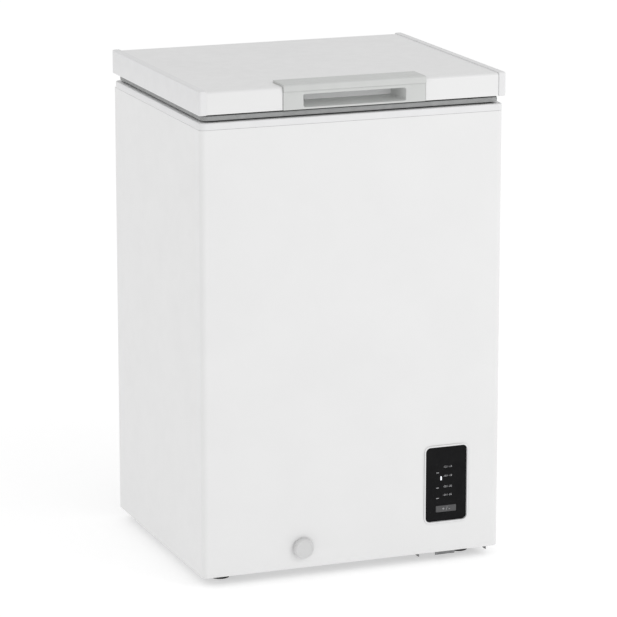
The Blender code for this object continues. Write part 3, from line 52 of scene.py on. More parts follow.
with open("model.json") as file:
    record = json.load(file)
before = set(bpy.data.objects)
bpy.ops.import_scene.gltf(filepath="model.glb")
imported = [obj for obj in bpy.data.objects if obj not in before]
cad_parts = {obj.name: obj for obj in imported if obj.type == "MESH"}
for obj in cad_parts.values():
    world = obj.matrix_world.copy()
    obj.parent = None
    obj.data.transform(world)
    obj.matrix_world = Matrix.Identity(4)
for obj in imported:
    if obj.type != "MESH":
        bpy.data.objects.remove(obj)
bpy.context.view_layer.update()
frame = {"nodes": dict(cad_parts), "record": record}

HOLD = 0.0004  # first row of a flat beside a round edge, so that the flat shades flat
MERGE = 0.000002  # points closer than this are one point
SHARP_ANGLE = 34.0  # degrees


def place_of(node):
    """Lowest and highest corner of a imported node, as arrays."""
    low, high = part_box(node)
    return np.array(low), np.array(high)


# ---------------------------------------------------------------- lines and outlines
def unit(vectors):
    """Each vector divided by its length."""
    return vectors / np.linalg.norm(vectors, axis=-1, keepdims=True)


def soft_line(corners, radius, steps=5, closed=False):
    """A line through corner points whose bends are arcs.

    A bend that turns by T touches both runs at r tan(T/2) from the corner, and its centre lies on the
    bisector at r / cos(T/2). Points on it are ((sin((1-s)T)) a + sin(sT) b) / sin T from the centre, where
    a and b are its two ends and s goes from 0 to 1.
    """
    at = np.asarray(corners, float)
    radius = np.broadcast_to(np.asarray(radius, float), len(at))
    if closed:
        before, after, bend, size = np.roll(at, 1, 0), np.roll(at, -1, 0), at, radius
    else:
        before, after, bend, size = at[:-2], at[2:], at[1:-1], radius[1:-1]
    back, ahead = unit(before - bend), unit(after - bend)
    turn = np.pi - np.arccos(np.clip((back * ahead).sum(-1), -1, 1))
    reach = (size * np.tan(turn / 2))[:, None]
    start, end = bend + back * reach, bend + ahead * reach
    centre = bend + unit(back + ahead) * (size / np.cos(turn / 2))[:, None]
    share = np.linspace(0, 1, steps + 1)[None, :, None]
    swing = turn[:, None, None]
    near = np.sin((1 - share) * swing) * (start - centre)[:, None]
    far = np.sin(share * swing) * (end - centre)[:, None]
    arcs = centre[:, None] + (near + far) / np.sin(swing)
    first = (start + back * HOLD)[:, None]
    last = (end + ahead * HOLD)[:, None]
    line = np.concatenate([first, arcs, last], 1).reshape(-1, at.shape[1])
    return line if closed else np.concatenate([at[:1], line, at[-1:]])


def points_per_bend(steps=5):
    """How many points soft_line gives each bend."""
    return steps + 3


def round_loops(low, high, radius, steps=8):
    """Rectangles with round corners, one per row of low and high, anticlockwise from the lower right.

    A point is its corner's centre plus r (cos a, sin a). radius holds one value, one per row, or one per
    row and corner in the order lower right, upper right, upper left, lower left.
    """
    low, high = np.atleast_2d(np.asarray(low, float)), np.atleast_2d(np.asarray(high, float))
    low, high = np.broadcast_arrays(low, high)
    radius = np.asarray(radius, float)
    if radius.ndim == 1:
        radius = radius[:, None]
    radius = np.broadcast_to(radius, (len(low), 4))
    angle = np.radians(np.array([[-90.0], [0.0], [90.0], [180.0]]) + np.linspace(0, 90, steps + 1))
    out = np.stack([np.cos(angle), np.sin(angle)], -1)
    along = np.stack([-np.sin(angle), np.cos(angle)], -1)
    side = np.array([[1, -1], [1, 1], [-1, 1], [-1, -1]])
    middle, half = (low + high) / 2, (high - low) / 2
    centre = middle[:, None] + side * (half[:, None] - radius[:, :, None])
    arc = centre[:, :, None] + radius[:, :, None, None] * out
    first = arc[:, :, :1] - HOLD * along[:, :1]
    last = arc[:, :, -1:] + HOLD * along[:, -1:]
    return np.concatenate([first, arc, last], 2).reshape(len(low), -1, 2)


def at_height(loops, heights):
    """Plan outlines lifted to their heights: (x, y) becomes (x, y, z)."""
    heights = np.broadcast_to(np.asarray(heights, float)[:, None], loops.shape[:2])
    return np.concatenate([loops, heights[:, :, None]], -1)


def at_depth(loops, depths):
    """Front-view outlines set at their depths: (x, z) becomes (x, y, z)."""
    depths = np.broadcast_to(np.asarray(depths, float)[:, None], loops.shape[:2])
    return np.stack([loops[:, :, 0], depths, loops[:, :, 1]], -1)


def inset_loops(low, high, inset, radius, steps=8):
    """Outlines of one rectangle moved in by each inset."""
    inset = np.asarray(inset, float)[:, None]
    return round_loops(np.asarray(low)[None] + inset, np.asarray(high)[None] - inset, radius, steps)


# ---------------------------------------------------------------- surfaces
def grid_faces(rows, columns, around=False, looped=False):
    """Quads of a grid, row by row.

    around closes each row on itself, and looped joins the last row to the first.
    """
    i = np.arange(rows if looped else rows - 1)
    j = np.arange(columns if around else columns - 1)
    i, j = np.meshgrid(i, j, indexing="ij")
    i_next, j_next = (i + 1) % rows, (j + 1) % columns
    corners = (i * columns + j, i * columns + j_next, i_next * columns + j_next, i_next * columns + j)
    return np.stack(corners, -1)


class Surface:
    """Grids of points and flat caps, gathered into one mesh."""

    def __init__(self):
        self.points = []
        self.faces = []
        self.count = 0

    def add(self, points, faces):
        self.points.append(np.asarray(points, float).reshape(-1, 3))
        self.faces += (np.asarray(faces) + self.count).tolist()
        self.count += len(self.points[-1])
        return self

    def grid(self, points, around=False, looped=False, keep=None):
        """A grid of points shaped (rows, columns, 3). keep drops the quads where it is False."""
        faces = grid_faces(*points.shape[:2], around, looped)
        faces = faces.reshape(-1, 4) if keep is None else faces[keep]
        return self.add(points, faces)

    def flats(self, points, faces):
        """Flat faces that may have any number of corners."""
        self.points.append(points)
        self.faces += [[corner + self.count for corner in face] for face in faces]
        self.count += len(points)
        return self

    def cap(self, loop):
        """One flat face over a closed loop."""
        return self.add(loop, [np.arange(len(loop))])

    def stack(self, loops, first=True, last=True):
        """Closed loops joined in turn, with a flat cap on either end."""
        self.grid(loops, around=True)
        if first:
            self.cap(loops[0])
        if last:
            self.cap(loops[-1])
        return self

    def mesh(self, name):
        """The merged mesh, facing out, with round stretches shaded smooth."""
        made = bpy.data.meshes.new(name)
        made.from_pydata(np.concatenate(self.points), [], self.faces)
        bm = bmesh.new()
        bm.from_mesh(made)
        bmesh.ops.remove_doubles(bm, verts=bm.verts, dist=MERGE)
        bmesh.ops.dissolve_degenerate(bm, edges=bm.edges, dist=MERGE)
        bmesh.ops.recalc_face_normals(bm, faces=bm.faces)
        bm.to_mesh(made)
        bm.free()
        made.shade_smooth()
        made.set_sharp_from_angle(angle=math.radians(SHARP_ANGLE))
        return made


def bearings(spokes):
    """The angle at which each spoke points."""
    return np.arctan2(spokes[:, 1], spokes[:, 0])


def reach_at(spokes, bearing):
    """How far a closed outline, given as spokes from a point inside it, reaches at each bearing."""
    closed = np.concatenate([spokes, spokes[:1]])
    share = np.linspace(0, len(spokes), len(spokes) * 20)
    fine = np.stack([np.interp(share, np.arange(len(closed)), closed[:, i]) for i in (0, 1)], -1)
    at = bearings(fine)
    order = np.argsort(at)
    return np.interp(bearing, at[order], np.linalg.norm(fine, axis=1)[order], period=2 * np.pi)


def window(surface, points, rows, columns, outline, centre, plane):
    """Fills a block that was left out of a grid, around a hole.

    The block's edge is joined to the hole by straight lines from its centre: each point of the edge meets the
    outline's point that lies at the same angle, found by reading the outline's radius as a function of angle.
    plane names the two axes in which the block is flat.
    """
    (top, bottom), (left, right) = rows, columns
    edge = np.concatenate(
        [
            points[top, left:right],
            points[top:bottom, right],
            points[bottom, right:left:-1],
            points[bottom:top:-1, left],
        ]
    )
    flat = edge[:, plane] - centre
    reach = reach_at(outline - centre, bearings(flat))
    hole = edge.copy()
    hole[:, plane] = centre + unit(flat) * reach[:, None]
    surface.grid(np.stack([edge, hole]), around=True)


def circle_line(radius, sides=48):
    """Points (r cos a, r sin a) round a circle."""
    angle = np.linspace(0, 2 * np.pi, sides, endpoint=False)
    return radius * np.stack([np.cos(angle), np.sin(angle)], -1)


def turned(profile, origin, axis="Z", sides=64, ripple=None):
    """A profile of (radius, height) carried round an axis: (r cos a, r sin a, h), turned to lie along it.

    axis is Z for upwards, -Y for towards the front, Y for towards the back, X for to the right. ripple, where
    given, multiplies the radius of each point: it is a function of the profile row and the angle.
    """
    profile = np.asarray(profile, float)
    angle = np.linspace(0, 2 * np.pi, sides, endpoint=False)[None]
    radius = profile[:, :1] * (ripple(np.arange(len(profile))[:, None], angle) if ripple else 1.0)
    u, v = radius * np.cos(angle), radius * np.sin(angle)
    w = np.broadcast_to(profile[:, 1:], u.shape)
    order = {"Z": (u, v, w), "-Y": (u, -w, v), "Y": (u, w, v), "X": (w, u, v)}[axis]
    return np.stack(order, -1) + np.asarray(origin, float)


def tube_points(path, radius, across, sides=10):
    """A round wire along a path: each point gets a circle r (cos a s + sin a t) square to the path.

    s is the path's direction crossed with the axis that no stretch of it runs along, and t is s crossed with
    the direction.
    """
    path = np.asarray(path, float)
    ahead = unit(np.gradient(path, axis=0))
    side = unit(np.cross(ahead, np.asarray(across, float)))
    up = np.cross(side, ahead)
    angle = np.linspace(0, 2 * np.pi, sides, endpoint=False)[None, :, None]
    return path[:, None] + radius * (np.cos(angle) * side[:, None] + np.sin(angle) * up[:, None])


def add_wire(surface, path, radius, across, sides=10, closed=False):
    """A wire with flat ends, or a closed ring of it."""
    if closed:
        wrapped = np.concatenate([path[-2:], path, path[:2]])
        rings = tube_points(wrapped, radius, across, sides)[2:-2]
        surface.grid(rings, around=True, looped=True)
    else:
        surface.stack(tube_points(path, radius, across, sides))


def piece(name, surface, finish, body, replaces=(), wall=0.0, outwards=False):
    """The surface as an object that rides on a body, in a finish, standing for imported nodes."""
    mesh = surface.mesh(name)
    mesh.materials.append(material(finish))
    obj = bpy.data.objects.new(name, mesh)
    bpy.context.scene.collection.objects.link(obj)
    if wall:
        sheet = obj.modifiers.new("sheet", "SOLIDIFY")
        sheet.thickness = wall
        sheet.offset = 1.0 if outwards else -1.0
        sheet.use_even_offset = True
        thick = bpy.data.meshes.new_from_object(obj.evaluated_get(bpy.context.evaluated_depsgraph_get()))
        obj.modifiers.clear()
        obj.data = thick
        bpy.data.meshes.remove(mesh)
        thick.name = name
        thick.set_sharp_from_angle(angle=math.radians(SHARP_ANGLE))
    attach(obj, body)
    if replaces:
        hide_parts(*replaces)
    return obj


# ---------------------------------------------------------------- finishes
class Finish:
    """A material whose shader keeps its even values and takes its patterns from small node groups."""

    def __init__(self, name, colour, roughness, metallic=0.0, **sockets):
        self.material = bpy.data.materials.new(name)
        self.material.use_nodes = True
        self.tree = self.material.node_tree
        self.shader = self.tree.nodes["Principled BSDF"]
        self.set("Base Color", (*colour, 1.0))
        self.set("Roughness", roughness)
        self.set("Metallic", metallic)
        for label, value in sockets.items():
            self.set(label.replace("_", " ").capitalize() if label != "ior" else "IOR", value)
        self.colour = colour

    def set(self, label, value):
        names = {n.lower(): n for n in self.shader.inputs.keys()}
        self.shader.inputs[names[label.lower()]].default_value = value

    def node(self, kind, **values):
        made = self.tree.nodes.new(kind)
        for label, value in values.items():
            if hasattr(made, label):
                setattr(made, label, value)
            else:
                made.inputs[label.replace("_", " ").capitalize()].default_value = value
        return made

    def link(self, source, target):
        self.tree.links.new(source, target)

    def space(self, stretch=(1, 1, 1)):
        """The piece's own coordinates in metres, stretched along each axis."""
        coordinates = self.node("ShaderNodeTexCoord")
        mapping = self.node("ShaderNodeMapping")
        mapping.inputs["Scale"].default_value = stretch
        self.link(coordinates.outputs["Object"], mapping.inputs["Vector"])
        return mapping.outputs["Vector"]

    def noise(self, grain, detail=2.0, stretch=(1, 1, 1)):
        """Soft random pattern whose lumps are grain metres across."""
        made = self.node("ShaderNodeTexNoise")
        made.inputs["Scale"].default_value = 1.0 / grain
        made.inputs["Detail"].default_value = detail
        self.link(self.space(stretch), made.inputs["Vector"])
        return made.outputs["Fac"]

    def cells(self, size, feature="F1", output="Distance", stretch=(1, 1, 1)):
        """Pattern of cells that are size metres across."""
        made = self.node("ShaderNodeTexVoronoi", feature=feature)
        made.inputs["Scale"].default_value = 1.0 / size
        self.link(self.space(stretch), made.inputs["Vector"])
        return made.outputs[output]

    def between(self, source, low, high, start=0.35, end=0.65):
        """Reads a pattern from start to end as a value from low to high."""
        made = self.node("ShaderNodeMapRange")
        made.inputs["From Min"].default_value = start
        made.inputs["From Max"].default_value = end
        made.inputs["To Min"].default_value = low
        made.inputs["To Max"].default_value = high
        self.link(source, made.inputs["Value"])
        return made.outputs["Result"]

    def mottle(self, source, other, start=0.35, end=0.65):
        """Mixes the base colour with another one where the pattern is high."""
        mix = self.node("ShaderNodeMix", data_type="RGBA")
        colours = [s for s in mix.inputs if s.type == "RGBA"]
        colours[0].default_value = (*self.colour, 1.0)
        colours[1].default_value = (*other, 1.0)
        self.link(self.between(source, 0.0, 1.0, start, end), mix.inputs["Factor"])
        self.link([s for s in mix.outputs if s.type == "RGBA"][0], self.shader.inputs["Base Color"])
        return self

    def gloss(self, source, low, high):
        """Varies the roughness from low to high with a pattern."""
        self.link(self.between(source, low, high), self.shader.inputs["Roughness"])
        return self

    def relief(self, source, depth, strength=1.0):
        """Raises the surface by depth metres where a pattern is high."""
        bump = self.node("ShaderNodeBump")
        bump.inputs["Strength"].default_value = strength
        bump.inputs["Distance"].default_value = depth
        self.link(source, bump.inputs["Height"])
        self.link(bump.outputs["Normal"], self.shader.inputs["Normal"])
        return self


def sizes():
    return bpy.context.scene.freezer_sizes


def colours():
    return bpy.context.scene.freezer_colours


def shade(colour, factor):
    """A colour made lighter or darker by a factor."""
    return tuple(min(1.0, value * factor) for value in colour)


def powder_paint(name):
    """White powder coat: faint orange peel, and a gloss that wanders slightly."""
    colour = tuple(colours().paint)
    made = Finish(name, colour, 0.34, specular_ior_level=0.4)
    made.mottle(made.noise(0.09, 3.0), shade(colour, 0.985))
    made.gloss(made.noise(0.02, 2.0), 0.30, 0.40)
    return made.relief(made.noise(0.0022, 1.0), 0.00003, 0.35)


def moulded_plastic(name, colour, grain=0.0007, low=0.40, high=0.52):
    """Moulded plastic: a fine spark-eroded grain and slight flow shading."""
    made = Finish(name, colour, low, specular_ior_level=0.4)
    made.mottle(made.noise(0.03, 3.0), shade(colour, 0.975))
    made.gloss(made.noise(0.006, 2.0), low, high)
    return made.relief(made.noise(grain, 2.0), 0.00004, 0.5)


def white_moulding(name):
    return moulded_plastic(name, tuple(colours().moulding))


def handle_moulding(name):
    return moulded_plastic(name, tuple(colours().handle), 0.0009)


def cap_moulding(name):
    return moulded_plastic(name, tuple(colours().cap), 0.0009)


def drain_moulding(name):
    return moulded_plastic(name, (0.72, 0.72, 0.73), 0.0012)


def key_moulding(name):
    return moulded_plastic(name, tuple(colours().key), 0.0005, 0.38, 0.48)


def black_moulding(name):
    return moulded_plastic(name, (0.018, 0.018, 0.019), 0.0008, 0.42, 0.55)


def soft_seal(name):
    """Grey vinyl seal: dusty, with fine draw lines along its length."""
    colour = tuple(colours().seal)
    made = Finish(name, colour, 0.6, specular_ior_level=0.3)
    made.mottle(made.noise(0.012, 4.0), shade(colour, 0.88))
    made.gloss(made.noise(0.01, 2.0), 0.55, 0.70)
    return made.relief(made.noise(0.0009, 2.0, (0.1, 0.1, 1.0)), 0.00006, 0.5)


def black_rubber(name):
    made = Finish(name, (0.012, 0.012, 0.012), 0.75, specular_ior_level=0.2)
    made.mottle(made.noise(0.008, 4.0), (0.024, 0.024, 0.023))
    made.gloss(made.noise(0.004, 2.0), 0.68, 0.85)
    return made.relief(made.noise(0.0011, 3.0), 0.00008, 0.6)


def stucco_aluminium(name):
    """Embossed aluminium sheet: pebbled cells about 6 mm across on bright metal."""
    made = Finish(name, (0.83, 0.84, 0.85), 0.32, 0.85)
    made.mottle(made.noise(0.05, 3.0), (0.74, 0.75, 0.77))
    made.gloss(made.noise(0.012, 2.0), 0.28, 0.40)
    return made.relief(made.between(made.cells(0.0065, "SMOOTH_F1"), 1.0, 0.0, 0.1, 0.6), 0.0004, 0.8)


def zinc_steel(name):
    """Galvanised sheet: spangles a few millimetres across, each with its own tone."""
    made = Finish(name, (0.44, 0.445, 0.45), 0.42, 0.7)
    spangle = made.cells(0.009, "F1", "Color")
    made.mottle(spangle, (0.50, 0.51, 0.52), 0.1, 0.9)
    made.gloss(spangle, 0.36, 0.52)
    return made.relief(made.noise(0.003, 3.0), 0.00004, 0.5)


def dull_zinc(name):
    """Galvanised steel under the cabinet, darker than the other zinc as painted shade for the shadow it
    stands in.
    """
    made = Finish(name, (0.20, 0.202, 0.205), 0.55, 0.5)
    made.mottle(made.cells(0.009, "F1", "Color"), (0.27, 0.272, 0.275), 0.1, 0.9)
    made.gloss(made.noise(0.006, 3.0), 0.48, 0.64)
    return made.relief(made.noise(0.003, 3.0), 0.00004, 0.5)


def black_enamel(name):
    made = Finish(name, (0.018, 0.018, 0.02), 0.35, specular_ior_level=0.5)
    made.mottle(made.noise(0.02, 3.0), (0.03, 0.03, 0.031))
    made.gloss(made.noise(0.01, 2.0), 0.28, 0.42)
    return made.relief(made.noise(0.002, 2.0), 0.00005, 0.5)


def tinted_window(name):
    """Black printed window: nearly smooth, with faint waves and a trace of dust."""
    made = Finish(name, (0.004, 0.004, 0.0045), 0.10, specular_ior_level=0.10)
    made.mottle(made.noise(0.015, 4.0), (0.006, 0.006, 0.0065))
    made.gloss(made.noise(0.01, 3.0), 0.08, 0.14)
    return made.relief(made.noise(0.02, 1.0), 0.00002, 0.2)


def lit_lens(name):
    made = Finish(name, (0.95, 0.97, 1.0), 0.3)
    made.mottle(made.noise(0.001, 2.0), (0.90, 0.94, 1.0))
    made.set("Emission Color", (0.95, 0.98, 1.0, 1.0))
    made.set("Emission Strength", 0.15)
    return made.relief(made.noise(0.0006, 1.0), 0.00002, 0.3)


def printed_ink(name):
    """Pale grey screen print."""
    made = Finish(name, (0.50, 0.50, 0.51), 0.5)
    made.mottle(made.noise(0.0006, 2.0), (0.40, 0.40, 0.41))
    return made.relief(made.noise(0.0004, 1.0), 0.00001, 0.3)


def circuit_board(name):
    made = Finish(name, (0.03, 0.16, 0.07), 0.4)
    made.mottle(made.cells(0.006, "F1", "Distance"), (0.05, 0.24, 0.10), 0.2, 0.5)
    return made.relief(made.noise(0.002, 2.0), 0.00005, 0.5)


def copper(name):
    """Drawn copper tube, slightly dulled."""
    made = Finish(name, (0.72, 0.36, 0.22), 0.3, 1.0)
    made.mottle(made.noise(0.012, 4.0), (0.50, 0.24, 0.15))
    made.gloss(made.noise(0.006, 2.0), 0.24, 0.42)
    return made.relief(made.noise(0.0015, 2.0), 0.00003, 0.4)


def bright_steel(name):
    made = Finish(name, (0.50, 0.50, 0.51), 0.3, 1.0)
    made.mottle(made.noise(0.004, 3.0), (0.38, 0.38, 0.39))
    made.gloss(made.noise(0.003, 2.0), 0.24, 0.40)
    return made.relief(made.noise(0.0008, 2.0), 0.00002, 0.4)


def wire_coating(name):
    """White vinyl dip on wire, with soft runs."""
    made = Finish(name, (0.80, 0.81, 0.82), 0.35)
    made.mottle(made.noise(0.01, 3.0), (0.74, 0.75, 0.76))
    made.gloss(made.noise(0.004, 2.0), 0.30, 0.42)
    return made.relief(made.noise(0.002, 2.0), 0.00006, 0.5)


def blown_foam(name):
    """Cream polyurethane foam with fine cells."""
    made = Finish(name, (0.80, 0.72, 0.50), 0.9)
    made.mottle(made.noise(0.01, 4.0), (0.70, 0.61, 0.40))
    return made.relief(made.cells(0.0015), 0.0004, 0.7)


def pale_floor(name):
    made = Finish(name, (0.66, 0.66, 0.66), 0.9, specular_ior_level=0.0)
    made.mottle(made.noise(0.6, 2.0), (0.65, 0.65, 0.65))
    made.set("Emission Color", (1.0, 1.0, 1.0, 1.0))
    made.set("Emission Strength", sizes().floor_glow)
    return made


FINISHES = {
    made.__name__: made
    for made in (
        powder_paint,
        white_moulding,
        handle_moulding,
        cap_moulding,
        drain_moulding,
        key_moulding,
        black_moulding,
        soft_seal,
        black_rubber,
        stucco_aluminium,
        zinc_steel,
        dull_zinc,
        black_enamel,
        tinted_window,
        lit_lens,
        printed_ink,
        circuit_board,
        copper,
        bright_steel,
        wire_coating,
        blown_foam,
        pale_floor,
    )
}

FINISH_OF_SLOT = {
    "white_paint": "powder_paint",
    "white_plastic": "white_moulding",
    "handle_plastic": "handle_moulding",
    "gasket_rubber": "soft_seal",
    "liner_aluminium": "stucco_aluminium",
    "foam": "blown_foam",
    "galvanised_steel": "zinc_steel",
    "black_paint": "black_enamel",
    "black_plastic": "black_moulding",
    "black_rubber": "black_rubber",
    "panel_glass": "tinted_window",
    "key_plastic": "key_moulding",
    "lens": "lit_lens",
    "board": "circuit_board",
    "copper": "copper",
    "spring_steel": "bright_steel",
    "coated_wire": "wire_coating",
    "drain_plastic": "drain_moulding",
}

# imported nodes under the cabinet, given a darker zinc than the rest of their slot: painted shade for the
# shadow under the cabinet
UNDERSIDE = {"compressor_base_plate": "dull_zinc", "base_panel": "dull_zinc"}


def material(name):
    """The named finish, made the first time that it is asked for."""
    found = bpy.data.materials.get(name)
    return found if found else FINISHES[name](name).material


# ---------------------------------------------------------------- cabinet
WRAP_BEND = 0.0012  # fold at the top and bottom of the sheet
WRAP_CORNER = 0.010
SHEET = 0.0007


def wrap_outline(low, high, inset):
    """Plan line of the wrap: rear return, left side, front, right side, rear return."""
    flange = 0.026
    corners = [
        (low[0] + flange, high[1] - inset),
        (low[0] + inset, high[1] - inset),
        (low[0] + inset, low[1] + inset),
        (high[0] - inset, low[1] + inset),
        (high[0] - inset, high[1] - inset),
        (high[0] - flange, high[1] - inset),
    ]
    front = max(WRAP_CORNER - inset, 0.0006)
    return soft_line(corners, (0, WRAP_BEND, front, front, WRAP_BEND, 0), 10)


BEZEL_CORNER = 0.0115
BEZEL_RIM = 0.003


def bezel_hole():
    """Outline (x, z) of the opening under the bezel, and its centre."""
    low, high = place_of("control_bezel")
    cover = 0.0014  # the bezel laps the sheet by this much
    loop = round_loops(low[[0, 2]] + cover, high[[0, 2]] - cover, BEZEL_CORNER - cover)[0]
    return loop, (low[[0, 2]] + high[[0, 2]]) / 2


def cabinet_wrap():
    """Painted steel sheet folded round the front and both sides, with flanges at top and bottom."""
    low, high = place_of("outer_shell")
    bend = points_per_bend()
    flange = 0.014
    section = [(flange, low[2]), (0, low[2]), (0, high[2]), (flange, high[2])]
    levels = soft_line(section, (0, WRAP_BEND, 0.0004, 0))
    outline, centre = bezel_hole()
    margin = 0.012
    rows = np.linspace(outline[:, 1].min() - margin, outline[:, 1].max() + margin, 20)
    columns = np.linspace(outline[:, 0].min() - margin, outline[:, 0].max() + margin, 14)
    heights = np.insert(levels, 1 + bend, np.stack([np.zeros(len(rows)), rows], -1), axis=0)
    left = 1 + 2 * points_per_bend(10)
    plans = []
    for inset, _ in heights:
        front = np.stack([columns, np.full(len(columns), low[1] + inset)], -1)
        plans.append(np.insert(wrap_outline(low, high, inset), left, front, axis=0))
    points = at_height(np.array(plans), heights[:, 1])
    keep = np.ones((points.shape[0] - 1, points.shape[1] - 1), bool)
    block = (1 + bend, bend + len(rows)), (left, left + len(columns) - 1)
    keep[block[0][0] : block[0][1], block[1][0] : block[1][1]] = False
    surface = Surface().grid(points, keep=keep)
    window(surface, points, *block, outline, centre, [0, 2])
    return piece("cabinet_wrap", surface, "powder_paint", "cabinet", ["outer_shell"], SHEET)


def rim_frame():
    """Moulded rim: skirt over the wrap, flat for the seal, ledge for the basket and lip round the tub."""
    low, high = place_of("top_frame")
    wall = 0.002
    flat, lip = 0.043, 0.050
    top, skirt = high[2], high[2] - 0.0115
    ledge, bottom = top - 0.014, top - 0.020
    corners = [
        (0, skirt),
        (0, top),
        (flat, top),
        (flat, ledge),
        (lip, ledge),
        (lip, bottom),
        (lip - wall, bottom),
        (lip - wall, ledge - wall),
        (flat - wall, ledge - wall),
        (flat - wall, top - wall),
        (wall, top - wall),
        (wall, skirt),
    ]
    radius = (0.0003, 0.0018, 0.0012, 0.0010, 0.0015, 0.0006, 0.0006, 0.0006, 0.0006, 0.0006, 0.0006, 0.0006)
    profile = soft_line(corners, radius, 5, closed=True)
    turn = np.interp(profile[:, 0], [0, 0.008, flat, lip], [WRAP_CORNER, 0.002, 0.032, 0.025])
    loops = inset_loops(low[:2], high[:2], profile[:, 0], turn)
    surface = Surface().grid(at_height(loops, profile[:, 1]), around=True, looped=True)
    return piece("rim_frame", surface, "white_moulding", "cabinet", ["top_frame"])


class FREEZER_OT_cabinet(Operator):
    """Make the painted steel wrap and the moulded rim"""

    bl_idname = "freezer.cabinet"
    bl_label = "Cabinet"

    def execute(self, context):
        cabinet_wrap()
        rim_frame()
        return {"FINISHED"}


# ---------------------------------------------------------------- tub
TUB_CORNER = 0.0273
TUB_FILLET = 0.004
TUB_STEP = 0.190  # height of the step over the compressor above the floor
TUB_RISER = 0.050  # where the step rises, to the right of the middle
TUB_STILL = 0.060  # left of here the corners draw nothing in from the right


def tub_section(low, high, riser, step):
    """The tub seen from the front: down the left wall, along the floor, up the step and along, then up."""
    corners = [
        (low[0], high[2]),
        (low[0], low[2]),
        (riser, low[2]),
        (riser, step),
        (high[0], step),
        (high[0], high[2]),
    ]
    return soft_line(corners, TUB_FILLET)


def tub_liner():
    """Embossed sheet tub: the section carried from front to back, its side walls drawn in round the corners.

    At a distance d from an end wall, under the corner radius r, each side wall moves in by
    r - sqrt(r^2 - (r - d)^2).
    """
    low, high = place_of("inner_liner")
    sheet = 0.0008
    low, high = low + sheet, high - np.array([sheet, sheet, 0])
    section = tub_section(low, high, TUB_RISER, low[2] + TUB_STEP)
    drain_low, drain_high = place_of("drain_plug")
    drain_centre = (drain_low + drain_high)[:2] / 2
    around_drain = np.linspace(-0.012, 0.012, 9)
    floor_x = drain_centre[0] + around_drain
    floor_row = 1 + points_per_bend()
    floor = np.stack([floor_x, np.full(len(floor_x), low[2])], -1)
    section = np.insert(section, floor_row, floor, axis=0)
    turn = np.linspace(0, np.pi / 2, 11)
    from_wall = TUB_CORNER * (1 - np.cos(turn))
    floor_y = drain_centre[1] + around_drain
    y = np.concatenate([low[1] + from_wall, floor_y, high[1] - from_wall[::-1]])
    gap = np.clip(np.minimum(y - low[1], high[1] - y), 0, TUB_CORNER)
    draw = TUB_CORNER - np.sqrt(TUB_CORNER**2 - (TUB_CORNER - gap) ** 2)
    x = section[:, 0][:, None]
    share_left = np.clip((floor_x[0] - x) / (floor_x[0] - low[0]), 0, 1)
    share_right = np.clip((x - TUB_STILL) / (high[0] - TUB_STILL), 0, 1)
    across = x + draw[None] * (share_left - share_right)
    shape = across.shape
    points = np.stack(
        [across, np.broadcast_to(y[None], shape), np.broadcast_to(section[:, 1][:, None], shape)], -1
    )
    keep = np.ones((shape[0] - 1, shape[1] - 1), bool)
    span = len(around_drain) - 1
    block = (floor_row, floor_row + span), (len(turn), len(turn) + span)
    keep[block[0][0] : block[0][1], block[1][0] : block[1][1]] = False
    surface = Surface().grid(points, keep=keep)
    hole = drain_centre + circle_line(0.007)
    window(surface, points, *block, hole, drain_centre, [0, 1])
    surface.cap(points[:, 0]).cap(points[:, -1])
    return piece(
        "tub_liner", surface, "stucco_aluminium", "cabinet", ["inner_liner"], sheet, True
    )


class FREEZER_OT_tub(Operator):
    """Make the embossed tub"""

    bl_idname = "freezer.tub"
    bl_label = "Tub"

    def execute(self, context):
        tub_liner()
        return {"FINISHED"}


# ---------------------------------------------------------------- basket
def wire_basket():
    """Hanging basket: hoops from side to side, hoops from front to back, two rings and two hanging lips."""
    low, high = place_of("storage_basket")
    thick, thin = 0.0019, sizes().basket_wire / 2
    lip_low, lip_high = low.copy(), high.copy()
    reach = 0.012  # how far the lips stand out over the ledges
    low, high = low + [thick, reach + thick, thick], high - [thick, reach + thick, thick]
    surface = Surface()
    ring = round_loops(low[:2], high[:2], 0.012)[0]
    for height in (high[2], high[2] - 0.055, high[2] - 0.110):
        size = thick if height == high[2] else thin
        add_wire(surface, np.insert(ring, 2, height, axis=1), size, (0, 0, 1), closed=True)
    inner = thick + thin * 0.8
    for y in np.linspace(low[1] + 0.014, high[1] - 0.014, sizes().basket_hoops):
        corners = [
            (low[0] + inner, y, high[2]),
            (low[0] + inner, y, low[2]),
            (high[0] - inner, y, low[2]),
            (high[0] - inner, y, high[2]),
        ]
        add_wire(surface, soft_line(corners, 0.014), thin, (0, 1, 0), 8)
    for x in np.linspace(low[0] + 0.020, high[0] - 0.020, 5):
        corners = [
            (x, low[1] + inner, high[2]),
            (x, low[1] + inner, low[2] + 2 * thin),
            (x, high[1] - inner, low[2] + 2 * thin),
            (x, high[1] - inner, high[2]),
        ]
        add_wire(surface, soft_line(corners, 0.014), thin, (1, 0, 0), 8)
    for wall, edge in ((low[1], lip_low[1] + thick), (high[1], lip_high[1] - thick)):
        corners = [
            (low[0] + 0.010, wall, high[2]),
            (low[0] + 0.010, edge, high[2]),
            (high[0] - 0.010, edge, high[2]),
            (high[0] - 0.010, wall, high[2]),
        ]
        add_wire(surface, soft_line(corners, 0.005), thick, (0, 0, 1))
    return piece("wire_basket", surface, "wire_coating", "storage_basket", ["storage_basket"])


class FREEZER_OT_basket(Operator):
    """Make the hanging wire basket"""

    bl_idname = "freezer.basket"
    bl_label = "Basket"

    def execute(self, context):
        wire_basket()
        return {"FINISHED"}


